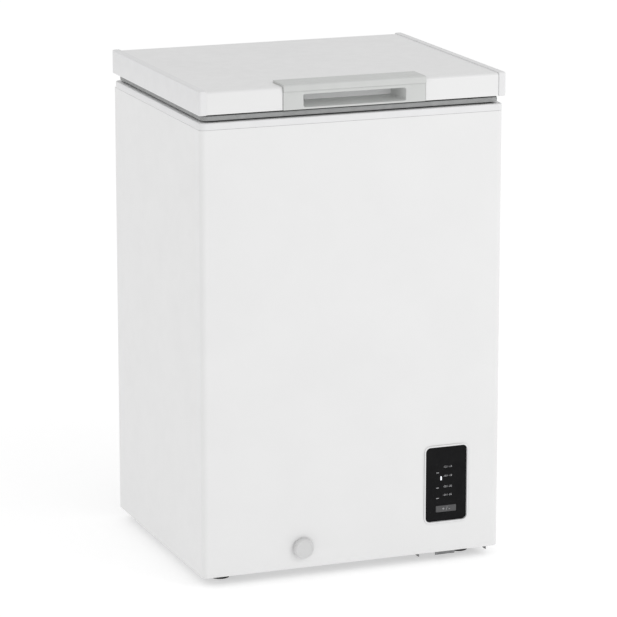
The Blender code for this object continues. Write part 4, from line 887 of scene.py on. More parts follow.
# ---------------------------------------------------------------- lid
def lid_sheet():
    """Folded lid sheet: a section from the front hem over the top to the back hem, carried across."""
    low, high = place_of("lid_skin")
    handle_low, handle_high = place_of("lid_handle")
    hem, bend = 0.0134, sizes().lid_bend
    corners = [
        (low[1] + hem, low[2]),
        (low[1], low[2]),
        (low[1], high[2]),
        (high[1], high[2]),
        (high[1], low[2]),
        (high[1] - hem, low[2]),
    ]
    section = soft_line(corners, (0, 0.0012, bend, bend, 0.0012, 0), 8)
    notch_row = 1 + 2 * points_per_bend(8)
    gap = 0.0008
    section = np.insert(section, notch_row, [(handle_high[1] + gap, high[2])], axis=0)
    x = np.array([low[0], handle_low[0] - gap, handle_high[0] + gap, high[0]])
    shape = (len(section), len(x))
    points = np.stack(
        [
            np.broadcast_to(x[None], shape),
            np.broadcast_to(section[:, 0][:, None], shape),
            np.broadcast_to(section[:, 1][:, None], shape),
        ],
        -1,
    )
    keep = np.ones((shape[0] - 1, shape[1] - 1), bool)
    keep[:notch_row, 1] = False
    surface = Surface().grid(points, keep=keep)
    return piece("lid_sheet", surface, "powder_paint", "lid", ["lid_skin"], SHEET)


def end_cap(side):
    """Moulded end of the lid: plan outlines stacked upwards, drawn in round the top edge.

    At an angle t round the top edge, an outline moves in by r (1 - cos t) and stands at r (1 - sin t) below
    the top; r is large on the outer side and small along the seam.
    """
    node = f"lid_end_cap_{side}"
    low, high = place_of(node)
    outer, seam, ends, corner = sizes().cap_round, 0.0008, 0.0022, 0.0042
    turn = np.radians(np.linspace(0, 90, 7))
    draw = np.concatenate([[1, 0.3, 0, 0], 1 - np.cos(turn)])
    rise = np.concatenate([[0, 0.3, 1, 2], 1 - np.sin(turn)])
    foot, foot_draw = 0.0008, 0.0005
    first = np.arange(len(rise)) < 4  # the rows round the lower edge
    z = np.where(first, low[2] + rise * foot, high[2] - rise * ends)
    inner_draw = draw * np.where(first, foot_draw, seam)
    outer_draw = draw * np.where(first, foot_draw, outer)
    end_draw = draw * np.where(first, foot_draw, ends)
    left, right = (outer_draw, inner_draw) if side == "left" else (inner_draw, outer_draw)
    lows = np.stack([low[0] + left, low[1] + end_draw], -1)
    highs = np.stack([high[0] - right, high[1] - end_draw], -1)
    wide = np.maximum(corner - end_draw * 0.8, 0.002)
    small = np.full(len(z), seam)
    order = (small, small, wide, wide) if side == "left" else (wide, wide, small, small)
    loops = round_loops(lows, highs, np.stack(order, -1))
    surface = Surface().stack(at_height(loops, z))
    return piece(f"lid_end_{side}", surface, "white_moulding", "lid", [node])


def lid_inner_panel():
    """Formed panel inside the lid: flat behind the seal, then down into the mouth of the tub."""
    low, high = place_of("lid_liner")
    face = place_of("lid_skin")[0][2]
    bottom, plug, wall = low[2], 0.0412, 0.0012
    corners = [(0, face), (plug - 0.006, face), (plug, bottom), (plug + 0.03, bottom)]
    profile = soft_line(corners, 0.003)
    turn = np.interp(profile[:, 0], [0, plug - 0.006, plug, plug + 0.03], [0.008, 0.025, 0.022, 0.010])
    loops = inset_loops(low[:2], high[:2], profile[:, 0], turn)
    surface = Surface().stack(at_height(loops, profile[:, 1]), first=False)
    return piece("lid_inner_panel", surface, "white_moulding", "lid", ["lid_liner"], wall)


class FREEZER_OT_lid(Operator):
    """Make the lid's sheet, its two moulded ends and its inner panel"""

    bl_idname = "freezer.lid"
    bl_label = "Lid"

    def execute(self, context):
        lid_sheet()
        end_cap("left")
        end_cap("right")
        lid_inner_panel()
        return {"FINISHED"}


# ---------------------------------------------------------------- handle
VISOR_BASE = 0.031  # underside of the visor above the handle's lower edge
GRIP_DEPTH = 0.037  # back of the grip behind the handle's face


def handle_face():
    """Front of the handle: outlines carried forward to the face, in over its edge and back into the grip.

    Each row is a rectangle with round corners (x, z) at a depth y.
    """
    low, high = place_of("lid_handle")
    front = place_of("lid_end_cap_left")[0][1]
    top = low[2] + VISOR_BASE
    back = high[1]
    soft, lip = 0.0008, 0.0012
    mouth_low, mouth_high = np.array([-0.091, low[2] + 0.0035]), np.array([0.091, low[2] + 0.025])
    deep_low, deep_high = np.array([-0.079, low[2] + 0.0090]), np.array([0.079, low[2] + 0.025])
    edge_low, edge_high = np.array([low[0], low[2]]), np.array([high[0], top])
    turn = np.radians(np.linspace(0, 90, 5))
    rows = [(edge_low, edge_high, back, 0.001)]
    for t in turn[::-1]:
        draw = soft * (1 - math.sin(t))
        rows.append((edge_low + draw, edge_high - draw, front + soft * (1 - math.cos(t)), 0.0015))
    for t in turn:
        draw = lip * (1 - math.sin(t))
        rows.append((mouth_low - draw, mouth_high + draw, front + lip * (1 - math.cos(t)), 0.003))
    for share in (0.35, 0.7, 0.93):
        rows.append(
            (
                mouth_low + (deep_low - mouth_low) * share,
                mouth_high + (deep_high - mouth_high) * share,
                front + lip + (GRIP_DEPTH - lip) * share,
                0.003,
            )
        )
    rows.append((deep_low + 0.001, deep_high - 0.001, front + GRIP_DEPTH, 0.003))
    lows, highs = np.array([r[0] for r in rows]), np.array([r[1] for r in rows])
    loops = round_loops(lows, highs, np.array([r[3] for r in rows]))
    surface = Surface().stack(at_depth(loops, np.array([r[2] for r in rows])))
    return piece("handle_face", surface, "handle_moulding", "lid", ["lid_handle"])


def handle_visor():
    """Plate over the grip with a rounded nose: its section, drawn in slightly at both ends."""
    low, high = place_of("lid_handle")
    base = low[2] + VISOR_BASE
    soft = 0.0008
    turn = np.radians(np.linspace(0, 90, 5))
    x = np.concatenate([low[0] + soft * (1 - np.sin(turn[::-1])), high[0] - soft * (1 - np.sin(turn))])
    draw = np.concatenate([soft * (1 - np.cos(turn[::-1])), soft * (1 - np.cos(turn))])
    sections = []
    for inset in draw:
        corners = [
            (low[1] + inset, base + inset),
            (low[1] + inset, high[2] - inset),
            (high[1] - inset, high[2] - inset),
            (high[1] - inset, base + inset),
        ]
        sections.append(soft_line(corners, (0.0012, 0.0040, 0.0008, 0.0006), 8, closed=True))
    sections = np.array(sections)
    across = np.broadcast_to(x[:, None], sections.shape[:2])
    points = np.stack([across, sections[:, :, 0], sections[:, :, 1]], -1)
    surface = Surface().stack(points)
    return piece("handle_visor", surface, "handle_moulding", "lid", ["lid_handle"])


def grip_back_painted_light():
    """Insert with soft corners at the back of the grip, in the lighter white moulding: painted light on the
    back wall, which is the same grey plastic as the handle.
    """
    low, _ = place_of("lid_handle")
    depth = place_of("lid_end_cap_left")[0][1] + GRIP_DEPTH
    lows, highs = np.array([-0.0782, low[2] + 0.0094]), np.array([0.0782, low[2] + 0.0246])
    loops = inset_loops(lows, highs, np.array([0, 0, 0.0006]), 0.0025)
    depths = np.array([depth + 0.0004, depth - 0.0004, depth - 0.0010])
    surface = Surface().stack(at_depth(loops, depths))
    # the white moulding on the grip's back is painted light: that wall is lit, not a lighter plastic
    return piece("grip_back_painted_light", surface, "white_moulding", "lid", ["lid_handle"])


class FREEZER_OT_handle(Operator):
    """Make the handle's face with its grip, and the visor over it"""

    bl_idname = "freezer.handle"
    bl_label = "Handle"

    def execute(self, context):
        handle_face()
        handle_visor()
        grip_back_painted_light()
        return {"FINISHED"}


# ---------------------------------------------------------------- seal
class FREEZER_OT_seal(Operator):
    """Make the seal between the rim and the lid: a grey band, a black core behind it as painted shade in the
    grooves above and below the band, and a grey body
    """

    bl_idname = "freezer.seal"
    bl_label = "Seal"

    def execute(self, context):
        low, high = place_of("lid_gasket")
        bottom, top = low[2] + sizes().seal_foot, high[2] - sizes().seal_neck
        middle = (low[2] + high[2]) / 2
        parts = {
            "seal_band": [(0.0057, bottom), (0.0057, top), (0.0004, top), (0, middle), (0.0004, bottom)],
            # the black core behind the band is painted shade: it darkens the grooves, which on the real seal
            # are only in shadow
            "seal_shade_core": [(0.0055, low[2]), (0.0080, low[2]), (0.0080, high[2]), (0.0055, high[2])],
            "seal_body": [(0.0079, low[2]), (0.016, low[2]), (0.016, high[2]), (0.0079, high[2])],
        }
        for name, corners in parts.items():
            finish = "black_rubber" if name == "seal_shade_core" else "soft_seal"
            profile = soft_line(corners, 0.0003, 3, closed=True)
            turn = np.interp(profile[:, 0], [0, 0.016], [0.010, 0.004])
            loops = inset_loops(low[:2], high[:2], profile[:, 0], turn)
            surface = Surface().grid(at_height(loops, profile[:, 1]), around=True, looped=True)
            piece(name, surface, finish, "lid", ["lid_gasket"])
        return {"FINISHED"}


# ---------------------------------------------------------------- control panel
PRINT_LIFT = 0.00008  # ink in front of its surface
SETTINGS = (("-12 / -14", 0.0935), ("-16 / -18", 0.0775), ("-20 / -22", 0.0585), ("-24 / -26", 0.0435))
DASH_HEIGHTS = (0.0835, 0.0565, 0.0380)  # like those of the settings, above the lower edge of the glass


def bezel_ring():
    """White ring round the window: a soft profile carried round the opening."""
    low, high = place_of("control_bezel")
    width, proud, back = BEZEL_RIM, low[1], high[1]
    face = place_of("outer_shell")[0][1]
    lap = 0.0018
    corners = [
        (0, face),
        (0, proud),
        (width, proud),
        (width, back),
        (lap, back),
        (lap, face),
    ]
    profile = soft_line(corners, (0.0003, 0.0010, 0.0006, 0.0003, 0.0003, 0.0003), 5, closed=True)
    loops = inset_loops(low[[0, 2]], high[[0, 2]], profile[:, 0], BEZEL_CORNER - profile[:, 0])
    surface = Surface().grid(at_depth(loops, profile[:, 1]), around=True, looped=True)
    return piece("bezel_ring", surface, "white_moulding", "cabinet", ["control_bezel"])


def panel_window():
    """Black window inside the bezel, with an opening for the key.

    Both outlines are read as a radius for each bearing from the key's centre, so that they join point by
    point.
    """
    low, high = place_of("control_bezel")
    front, back = place_of("control_glass")[0][1], place_of("control_glass")[1][1]
    key_low, key_high = place_of("mode_key")
    edge, gap = BEZEL_RIM + 0.0001, 0.00035
    outer = inset_loops(low[[0, 2]], high[[0, 2]], np.array([edge]), BEZEL_CORNER - edge)[0]
    key = round_loops(key_low[[0, 2]] - gap, key_high[[0, 2]] + gap, 0.0015)[0]
    centre = (key_low + key_high)[[0, 2]] / 2
    bearing = np.sort(np.concatenate([bearings(outer - centre), bearings(key - centre)]))
    ray = np.stack([np.cos(bearing), np.sin(bearing)], -1)
    outer, key = (centre + ray * reach_at(loop - centre, bearing)[:, None] for loop in (outer, key))
    loops = np.stack([key, outer, outer, key])
    surface = Surface().grid(at_depth(loops, np.array([front, front, back, back])), around=True, looped=True)
    return piece("panel_window", surface, "tinted_window", "cabinet", ["control_glass"])


def mode_key_cap():
    """Wide key: outlines carried forward, drawn in round the front edge, with a slightly dished face."""
    low, high = place_of("mode_key")
    soft = 0.0009
    turn = np.radians(np.linspace(0, 90, 6))
    inset = np.concatenate([[0], soft * (1 - np.cos(turn)), [0.0022, 0.0040]])
    edge = low[1] + soft * (1 - np.sin(turn))
    depth = np.concatenate([[high[1]], edge, [low[1] + 0.0001, low[1] + 0.0003]])
    radius = np.maximum(0.0014 - inset * 0.5, 0.0004)
    loops = inset_loops(low[[0, 2]], high[[0, 2]], inset, radius)
    surface = Surface().stack(at_depth(loops, depth))
    return piece("mode_key_cap", surface, "key_moulding", "mode_key", ["mode_key"])


def flat_text(words, height):
    """Figures as points (x, z) and faces, height metres tall, running right from the origin at mid-height."""
    curve = bpy.data.curves.new("figures", "FONT")
    curve.body = words
    curve.size = height / 0.7
    curve.align_x = "LEFT"
    curve.align_y = "CENTER"
    holder = bpy.data.objects.new("figures", curve)
    bpy.context.scene.collection.objects.link(holder)
    bpy.context.view_layer.update()
    mesh = bpy.data.meshes.new_from_object(holder.evaluated_get(bpy.context.evaluated_depsgraph_get()))
    count = len(mesh.vertices)
    flat = np.empty(count * 3)
    mesh.vertices.foreach_get("co", flat)
    faces = [list(face.vertices) for face in mesh.polygons]
    bpy.data.objects.remove(holder)
    bpy.data.curves.remove(curve)
    bpy.data.meshes.remove(mesh)
    return flat.reshape(-1, 3)[:, :2], faces


def key_mark():
    """Printed signs in the middle of the key."""
    low, high = place_of("mode_key")
    centre = (low + high) / 2
    flat, faces = flat_text("+ / -", 0.0062)
    flat = flat - (flat.min(0) + flat.max(0)) / 2
    front = np.full(len(flat), low[1] - PRINT_LIFT)
    spots = np.stack([centre[0] + flat[:, 0], front, centre[2] + flat[:, 1]], -1)
    surface = Surface().flats(spots, faces)
    return piece("key_mark", surface, "printed_ink", "mode_key")


def panel_marks():
    """Printed settings: four pairs of figures at the right of the light, short dashes at its left."""
    glass_low, glass_high = place_of("control_glass")
    centre = (glass_low[0] + glass_high[0]) / 2
    front = glass_low[1] - PRINT_LIFT
    surface = Surface()
    start = place_of("indicator_lens")[1][0] + 0.0025
    for words, z in SETTINGS:
        flat, faces = flat_text(words, 0.0033)
        spots = np.stack([start + flat[:, 0], np.full(len(flat), front), glass_low[2] + z + flat[:, 1]], -1)
        surface.flats(spots, faces)
    for z in DASH_HEIGHTS:
        low = np.array([centre - 0.0175, glass_low[2] + z])
        loop = round_loops(low, low + [0.0050, 0.0010], 0.0003, 3)
        surface.cap(at_depth(loop, [front])[0])
    return piece("panel_marks", surface, "printed_ink", "cabinet")


class FREEZER_OT_panel(Operator):
    """Make the bezel, the key and the printed marks of the control panel"""

    bl_idname = "freezer.panel"
    bl_label = "Control panel"

    def execute(self, context):
        bezel_ring()
        panel_window()
        mode_key_cap()
        panel_marks()
        key_mark()
        return {"FINISHED"}


# ---------------------------------------------------------------- drain
def drain_cap():
    """Cap in front of the drain: a dished face, a gripped side and a socket behind."""
    low, high = place_of("drain_cap")
    centre = (low + high) / 2
    radius = (high[0] - low[0]) / 2
    depth = high[1] - low[1]
    socket = 0.0094
    corners = [
        (0, depth - 0.0006),
        (radius - 0.0052, depth - 0.0006),
        (radius - 0.0042, depth),
        (radius - 0.0026, depth),
        (radius, depth - 0.0030),
        (radius, 0.0018),
        (radius - 0.0020, 0.0018),
        (radius - 0.0020, 0),
        (socket, 0),
        (socket, 0.0062),
        (0, 0.0062),
    ]
    bends = (0, 0.0006, 0.0006, 0.0010, 0.0012, 0.0004, 0.0004, 0.0004, 0.0004, 0.0004, 0)
    profile = soft_line(corners, bends)
    origin = (centre[0], high[1], centre[2])
    side = (profile[:, 0] > radius - 0.0003) & (profile[:, 1] > 0.0018)

    def grooves(row, angle):
        """Forty fine grips round the side: 1 - 0.012 (1 + cos 40a) on its rows."""
        return 1 - np.where(side[row], 0.012 * (1 + np.cos(40 * angle)), 0.0)

    surface = Surface().grid(turned(profile, origin, "-Y", 320, grooves), around=True)
    return piece("drain_cap_turned", surface, "cap_moulding", "drain_cap", ["drain_cap"])


def drain_plug():
    """Rubber plug in the tub's floor: a low head over a tapered stem."""
    low, high = place_of("drain_plug")
    centre = (low + high) / 2
    head, top = (high[0] - low[0]) / 2, high[2] - low[2]
    corners = [
        (0, top),
        (0.004, top),
        (0.005, top - 0.001),
        (head - 0.003, top - 0.001),
        (head, top - 0.0025),
        (head, 0.0063),
        (0.0066, 0.0063),
        (0.0062, 0),
        (0, 0),
    ]
    profile = soft_line(corners, (0, 0.0005, 0.0008, 0.001, 0.001, 0.0005, 0.0005, 0.0008, 0))
    surface = Surface().grid(turned(profile, (centre[0], centre[1], low[2]), "Z", 64), around=True)
    return piece("drain_plug_turned", surface, "black_rubber", "drain_plug", ["drain_plug"])


class FREEZER_OT_drain(Operator):
    """Make the drain's cap and the plug in the tub"""

    bl_idname = "freezer.drain"
    bl_label = "Drain"

    def execute(self, context):
        drain_cap()
        drain_plug()
        return {"FINISHED"}


# ---------------------------------------------------------------- hinges
def hinge_cover(side):
    """Box over a hinge bracket, open to the cabinet and at the top, with soft edges."""
    low, high = place_of(f"hinge_cover_{side}")
    soft = 0.003
    turn = np.radians(np.linspace(0, 90, 6))
    inset = np.concatenate([soft * (1 - np.sin(turn)), [0, 0]])
    height = np.concatenate([low[2] + soft * (1 - np.cos(turn)), [high[2] - HOLD, high[2]]])
    plans = []
    for draw in inset:
        corners = [
            (low[0] + draw, low[1]),
            (low[0] + draw, high[1] - draw),
            (high[0] - draw, high[1] - draw),
            (high[0] - draw, low[1]),
        ]
        plans.append(soft_line(corners, 0.005 - draw * 0.5))
    points = at_height(np.array(plans), height)
    surface = Surface().grid(points).cap(points[0])
    name = f"hinge_hood_{side}"
    return piece(name, surface, "white_moulding", "cabinet", [f"hinge_cover_{side}"], 0.0015)


def hinge_spring(side):
    """Torsion spring: a helix round the pin, then a straight leg down."""
    node = f"hinge_spring_{side}"
    low, high = place_of(node)
    pin_low, pin_high = place_of(f"hinge_pin_{side}")
    wire, turns = 0.0011, 3
    centre = (pin_low + pin_high) / 2
    radius = high[1] - centre[1] - wire
    angle = np.linspace(0, 2 * np.pi * turns, 24 * turns + 1)
    x = low[0] + wire + (high[0] - low[0] - 2 * wire) * angle / angle[-1]
    helix = np.stack([x, centre[1] + radius * np.cos(angle), centre[2] + radius * np.sin(angle)], -1)
    leg = helix[0] + np.outer(np.linspace(centre[2] - low[2], 0.002, 6), (0, 0, -1))
    surface = Surface()
    add_wire(surface, np.concatenate([leg, helix]), wire, (1, 0, 0), 10)
    return piece(f"torsion_spring_{side}", surface, "bright_steel", "cabinet", [node])


def hinge_pin(side):
    """Pin with a head at each end."""
    node = f"hinge_pin_{side}"
    low, high = place_of(node)
    centre = (low + high) / 2
    half, head = (high[0] - low[0]) / 2, 0.0015
    large, small = 0.0045, 0.003
    corners = [(0, half), (large, half), (large, half - head), (small, half - head)]
    corners += [(r, -h) for r, h in corners[::-1]]
    radius = (0, 0.0006, 0.0003, 0.0003, 0.0003, 0.0003, 0.0006, 0)
    surface = Surface().grid(turned(soft_line(corners, radius, 4), centre, "X", 32), around=True)
    return piece(f"headed_pin_{side}", surface, "bright_steel", "cabinet", [node])


class FREEZER_OT_hinges(Operator):
    """Make the hinges' hoods, pins and springs"""

    bl_idname = "freezer.hinges"
    bl_label = "Hinges"

    def execute(self, context):
        for side in ("left", "right"):
            hinge_cover(side)
            hinge_pin(side)
            hinge_spring(side)
        return {"FINISHED"}


# ---------------------------------------------------------------- compressor bay
def louvred_cover():
    """Rear cover with pressed louvres that open downwards.

    The sheet stands out by h (1 - u)^2 (1 + 2u), where u goes from 0 at a louvre's lower edge to 1 at the end
    of its slope, times a smooth fall to nothing at its two ends. The strip under each edge is left open.
    """
    low, high = place_of("bay_cover")
    wall, rise = 0.0010, sizes().louvre_rise
    count, side, bottom, top = 9, 0.022, 0.060, 0.030
    slope, edge, fall = 0.0105, 0.0003, 0.008
    pitch = (high[2] - low[2] - bottom - top) / count
    starts = low[2] + bottom + pitch * np.arange(count)
    shares = np.concatenate([[-edge / slope], np.linspace(0, 1, 9)])
    plain = [low[2], low[2] + 0.012, low[2] + 0.052]  # rows under the louvres
    z = np.concatenate([plain, (starts[:, None] + slope * shares).ravel(), [high[2]]])
    left, right = low[0] + side, high[0] - side
    rise_left, rise_right = np.linspace(left, left + fall, 7), np.linspace(right - fall, right, 7)
    even = np.linspace(left + fall, right - fall, 9)[1:-1]
    x = np.concatenate([[low[0]], rise_left, even, rise_right, [high[0]]])
    u = np.full(len(z), 1.0)
    u[len(plain) : -1] = np.tile(shares, count)
    u = np.where(u < 0, 1.0, u)
    height = rise * (1 - u) ** 2 * (1 + 2 * u)
    ends = np.clip(np.minimum(x - left, right - x) / fall, 0, 1)
    ends = ends * ends * (3 - 2 * ends)
    out = height[:, None] * ends[None]
    shape = out.shape
    grid_x, grid_z = np.broadcast_to(x[None], shape), np.broadcast_to(z[:, None], shape)
    points = np.stack([grid_x, high[1] + out, grid_z], -1)
    keep = np.ones((shape[0] - 1, shape[1] - 1), bool)
    drops = len(plain) + np.arange(count) * len(shares)
    raised = (ends[:-1] > 0.02) & (ends[1:] > 0.02)
    keep[drops[:, None], np.flatnonzero(raised)[None]] = False
    surface = Surface().grid(points, keep=keep)
    return piece("louvred_cover", surface, "zinc_steel", "cabinet", ["bay_cover"], wall)


def cord_bush():
    """Rubber bush in the cover, with a flange outside."""
    low, high = place_of("cord_gland")
    centre = (low + high) / 2
    flange, body, bore = (high[0] - low[0]) / 2, 0.007, 0.0036
    length = high[1] - low[1]
    collar = length - 0.003
    corners = [(flange, length), (flange, collar), (body, collar), (body, 0), (bore, 0), (bore, length)]
    profile = soft_line(corners, (0.001, 0.0004, 0.0004, 0.0008, 0.0008, 0.0010), 5, closed=True)
    rings = turned(profile, (centre[0], low[1], centre[2]), "Y", 48)
    surface = Surface().grid(rings, around=True, looped=True)
    return piece("cord_bush", surface, "black_rubber", "cabinet", ["cord_gland"])


def compressor_can():
    """Welded can: a domed top, a rolled seam and a rounded foot."""
    low, high = place_of("compressor_shell")
    centre = (low + high) / 2
    seam, height = 0.003, high[2] - low[2]
    radius = (high[0] - low[0]) / 2 - seam
    corners = [
        (0, height),
        (radius * 0.55, height * 0.975),
        (radius * 0.93, height * 0.86),
        (radius, height * 0.66),
        (radius, height * 0.59),
        (radius + seam, height * 0.59),
        (radius + seam, height * 0.56),
        (radius, height * 0.56),
        (radius, height * 0.08),
        (radius * 0.86, 0),
        (0, 0),
    ]
    bends = (0, 0.05, 0.03, 0.02, 0.001, 0.001, 0.001, 0.001, 0.008, 0.006, 0)
    profile = soft_line(corners, bends, 6)
    surface = Surface().grid(turned(profile, (centre[0], centre[1], low[2])), around=True)
    return piece("compressor_can", surface, "black_enamel", "cabinet", ["compressor_shell"])


def screw_heads(name, places, back):
    """Pan heads with a cross recess, at places (x, z) on a face at y = back.

    The recess's radius is 1 + 0.35 cos 4a times its mean, so that it has four lobes.
    """
    profile = np.array([(0, 0.0008), (0.0011, 0.0008), (0.0013, 0.0019), (0.0022, 0.0018), (0.0033, 0.0012)])
    profile = np.concatenate([profile, [(0.0039, 0.0005), (0.0040, 0), (0.0040, -0.0002), (0, -0.0002)]])

    def lobes(row, angle):
        """The recess's four lobes, on its two rows."""
        return 1 + np.where((row > 0) & (row < 3), 0.35 * np.cos(4 * angle), 0.0)

    surface = Surface()
    for x, z in places:
        surface.grid(turned(profile, (x, back, z), "Y", 32, lobes), around=True)
    return piece(name, surface, "bright_steel", "cabinet")


class FREEZER_OT_screws(Operator):
    """Make the screws of the rear cover and the rear panel"""

    bl_idname = "freezer.screws"
    bl_label = "Screws"

    def execute(self, context):
        low, high = place_of("bay_cover")
        edge = 0.009
        places = [(x, z) for x in (low[0] + edge, high[0] - edge) for z in (low[2] + edge, high[2] - edge)]
        screw_heads("cover_screws", places, high[1])
        low, high = place_of("rear_panel")
        heights = np.linspace(low[2] + 0.05, high[2] - 0.05, 4)
        places = [(x, z) for x in (low[0] + 0.0065, high[0] - 0.0065) for z in heights]
        screw_heads("panel_screws", places, high[1])
        return {"FINISHED"}


class FREEZER_OT_bay(Operator):
    """Make the louvred rear cover, the cord's bush and the compressor's can"""

    bl_idname = "freezer.bay"
    bl_label = "Compressor bay"

    def execute(self, context):
        louvred_cover()
        cord_bush()
        compressor_can()
        return {"FINISHED"}


# ---------------------------------------------------------------- feet
def levelling_foot(node):
    """Rubber foot on a stud, with a gripped rim."""
    low, high = place_of(node)
    centre = (low + high) / 2
    radius, stud, disc = (high[0] - low[0]) / 2, 0.004, 0.0159
    corners = [
        (0, high[2]),
        (stud, high[2]),
        (stud, disc),
        (radius - 0.001, disc),
        (radius, disc - 0.003),
        (radius - 0.0005, 0.0045),
        (radius - 0.002, 0),
        (0, 0),
    ]
    profile = soft_line(corners, (0, 0.0008, 0.0005, 0.0012, 0.0015, 0.0010, 0.0008, 0), 4)
    outer = profile[:, 0] > radius - 0.0025

    def ribs(row, angle):
        """Twelve shallow grips: 1 - 0.02 (1 + cos 12a) on the rim's rows."""
        return 1 - np.where(outer[row], 0.02 * (1 + np.cos(12 * angle)), 0.0)

    surface = Surface().grid(turned(profile, (centre[0], centre[1], 0), "Z", 144, ribs), around=True)
    return piece(node + "_ribbed", surface, "black_rubber", node, [node])


class FREEZER_OT_feet(Operator):
    """Make the four levelling feet"""

    bl_idname = "freezer.feet"
    bl_label = "Feet"

    def execute(self, context):
        for node in ("foot_front_left", "foot_front_right", "foot_rear_left", "foot_rear_right"):
            levelling_foot(node)
        return {"FINISHED"}


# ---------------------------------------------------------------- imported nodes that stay
class FREEZER_OT_carried(Operator):
    """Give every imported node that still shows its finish"""

    bl_idname = "freezer.carried"
    bl_label = "Carried parts"

    def execute(self, context):
        for part in frame["record"]["subparts"]:
            node = frame["nodes"][part["node"]]
            # nodes under the cabinet take the darker zinc, which is painted shade
            finish = material(UNDERSIDE.get(part["node"], FINISH_OF_SLOT[part["material_slot"]]))
            node.data.materials.clear()
            node.data.materials.append(finish)
        return {"FINISHED"}


# ---------------------------------------------------------------- stage
CAMERA_PLACE = (-2.0950, -5.4880, 1.8122)
CAMERA_LENS = 202.4  # mm, on a 36 mm sensor
CAMERA_TURN = 20.98  # degrees, from straight at the front towards the right
CAMERA_TILT = 13.43  # degrees below the horizon


def add_camera():
    camera = bpy.data.cameras.new("view")
    camera.lens = CAMERA_LENS
    camera.sensor_width = 36.0
    obj = bpy.data.objects.new("view", camera)
    obj.location = CAMERA_PLACE
    obj.rotation_euler = (math.radians(90 - CAMERA_TILT), 0, math.radians(-CAMERA_TURN))
    bpy.context.scene.collection.objects.link(obj)
    bpy.context.scene.camera = obj


def add_softbox(name, place, aim, size, power):
    """A square area light at a place, turned to its aim."""
    light = bpy.data.lights.new(name, "AREA")
    light.shape = "SQUARE"
    light.size = size
    light.energy = power
    obj = bpy.data.objects.new(name, light)
    place, aim = np.array(place, float), np.array(aim, float)
    back = unit(place - aim)
    right = unit(np.cross((0, 0, 1), back))
    turn = np.eye(4)
    turn[:3, 0], turn[:3, 1], turn[:3, 2], turn[:3, 3] = right, np.cross(back, right), back, place
    obj.matrix_world = Matrix(turn.tolist())
    bpy.context.scene.collection.objects.link(obj)


class FREEZER_OT_stage(Operator):
    """Make the floor, the lights and the camera"""

    bl_idname = "freezer.stage"
    bl_label = "Stage"

    def execute(self, context):
        reach = 20.0
        corners = [(-reach, -reach, 0), (reach, -reach, 0), (reach, reach, 0), (-reach, reach, 0)]
        floor = bpy.data.objects.new("floor", Surface().cap(corners).mesh("floor"))
        floor.data.materials.append(material("pale_floor"))
        context.scene.collection.objects.link(floor)
        world = bpy.data.worlds.new("soft surround")
        world.use_nodes = True
        world.node_tree.nodes["Background"].inputs["Color"].default_value = (1, 1, 1, 1)
        world.node_tree.nodes["Background"].inputs["Strength"].default_value = sizes().surround
        context.scene.world = world
        context.scene.view_settings.view_transform = "Standard"
        add_softbox("front right", (1.5, -2.3, 1.6), (0.2, -0.2, 0.6), 1.2, sizes().key_light)
        add_softbox("left", (-1.7, -0.3, 1.7), (-0.2, 0, 0.7), 0.9, sizes().side_light)
        add_camera()
        return {"FINISHED"}


# ---------------------------------------------------------------- what a user can change
class FreezerSizes(PropertyGroup):
    """Sizes and light levels that may be changed before the pieces are made"""

    lid_bend: FloatProperty(
        name="Lid bend", description="Radius of the lid's folded edges", default=0.005, unit="LENGTH"
    )
    cap_round: FloatProperty(
        name="End cap round",
        description="Radius along the lid's outer top edge",
        default=0.0028,
        unit="LENGTH",
    )
    # the seal's grooves look dark through the black core behind the band, which is painted shade
    seal_neck: FloatProperty(
        name="Seal neck",
        description="Height of the dark groove above the seal",
        default=0.0030,
        unit="LENGTH",
    )
    seal_foot: FloatProperty(
        name="Seal foot",
        description="Height of the dark groove below the seal",
        default=0.0024,
        unit="LENGTH",
    )
    louvre_rise: FloatProperty(
        name="Louvre rise",
        description="How far a louvre stands out of the cover",
        default=0.0050,
        unit="LENGTH",
    )
    basket_wire: FloatProperty(
        name="Basket wire", description="Diameter of the basket's thin wires", default=0.0026, unit="LENGTH"
    )
    basket_hoops: IntProperty(name="Basket hoops", description="Hoops from side to side", default=21, min=3)
    surround: FloatProperty(name="Surround", description="Brightness of the surrounding light", default=0.80)
    key_light: FloatProperty(
        name="Front light", description="Light from the front right", default=12.0, unit="POWER"
    )
    side_light: FloatProperty(name="Side light", description="Light from the left", default=0.6, unit="POWER")
    floor_glow: FloatProperty(name="Floor glow", description="How much the floor lights itself", default=0.49)


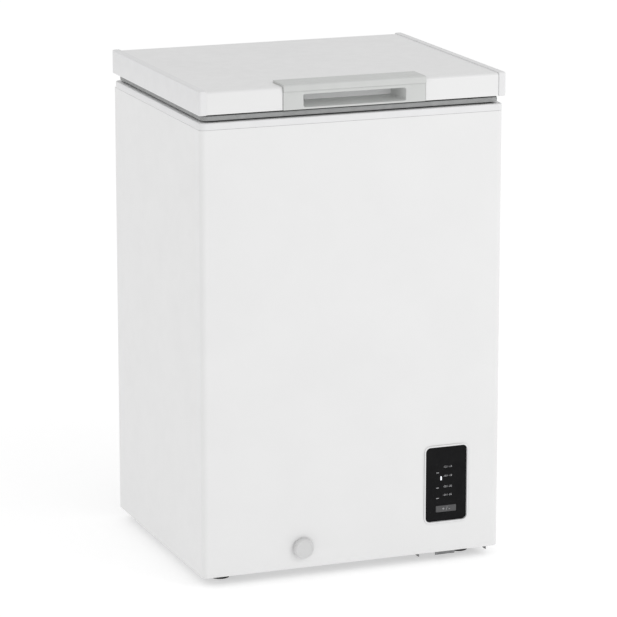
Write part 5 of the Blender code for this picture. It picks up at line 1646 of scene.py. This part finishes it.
class FreezerColours(PropertyGroup):
    """Colours that may be changed before the pieces are made"""

    paint: FloatVectorProperty(
        name="Paint", description="Steel cabinet and lid", default=(0.80, 0.80, 0.80), subtype="COLOR"
    )
    moulding: FloatVectorProperty(
        name="Moulding", description="White plastic parts", default=(0.78, 0.78, 0.785), subtype="COLOR"
    )
    handle: FloatVectorProperty(
        name="Handle", description="Lid handle", default=(0.60, 0.61, 0.60), subtype="COLOR"
    )
    cap: FloatVectorProperty(
        name="Drain cap", description="Drain cap", default=(0.64, 0.64, 0.64), subtype="COLOR"
    )
    key: FloatVectorProperty(
        name="Key", description="Key on the panel", default=(0.075, 0.075, 0.077), subtype="COLOR"
    )
    seal: FloatVectorProperty(
        name="Seal", description="Lid seal", default=(0.36, 0.365, 0.365), subtype="COLOR"
    )


STEPS = (
    FREEZER_OT_carried,
    FREEZER_OT_cabinet,
    FREEZER_OT_tub,
    FREEZER_OT_basket,
    FREEZER_OT_lid,
    FREEZER_OT_handle,
    FREEZER_OT_seal,
    FREEZER_OT_panel,
    FREEZER_OT_drain,
    FREEZER_OT_hinges,
    FREEZER_OT_bay,
    FREEZER_OT_screws,
    FREEZER_OT_feet,
    FREEZER_OT_stage,
)


class FREEZER_PT_panel(Panel):
    """Lists the sizes, the colours and the steps"""

    bl_label = "Chest freezer"
    bl_idname = "FREEZER_PT_panel"
    bl_space_type = "VIEW_3D"
    bl_region_type = "UI"
    bl_category = "Freezer"

    def draw(self, context):
        for group in (context.scene.freezer_sizes, context.scene.freezer_colours):
            for name in group.__annotations__:
                self.layout.prop(group, name)
        for step in STEPS:
            self.layout.operator(step.bl_idname)


CLASSES = (FreezerSizes, FreezerColours, *STEPS, FREEZER_PT_panel)


def register():
    for cls in CLASSES:
        bpy.utils.register_class(cls)
    bpy.types.Scene.freezer_sizes = PointerProperty(type=FreezerSizes)
    bpy.types.Scene.freezer_colours = PointerProperty(type=FreezerColours)


def unregister():
    del bpy.types.Scene.freezer_colours
    del bpy.types.Scene.freezer_sizes
    for cls in reversed(CLASSES):
        bpy.utils.unregister_class(cls)


def main():
    register()
    for step in STEPS:
        group, name = step.bl_idname.split(".")
        getattr(getattr(bpy.ops, group), name)()


if __name__ == "__main__":
    main()
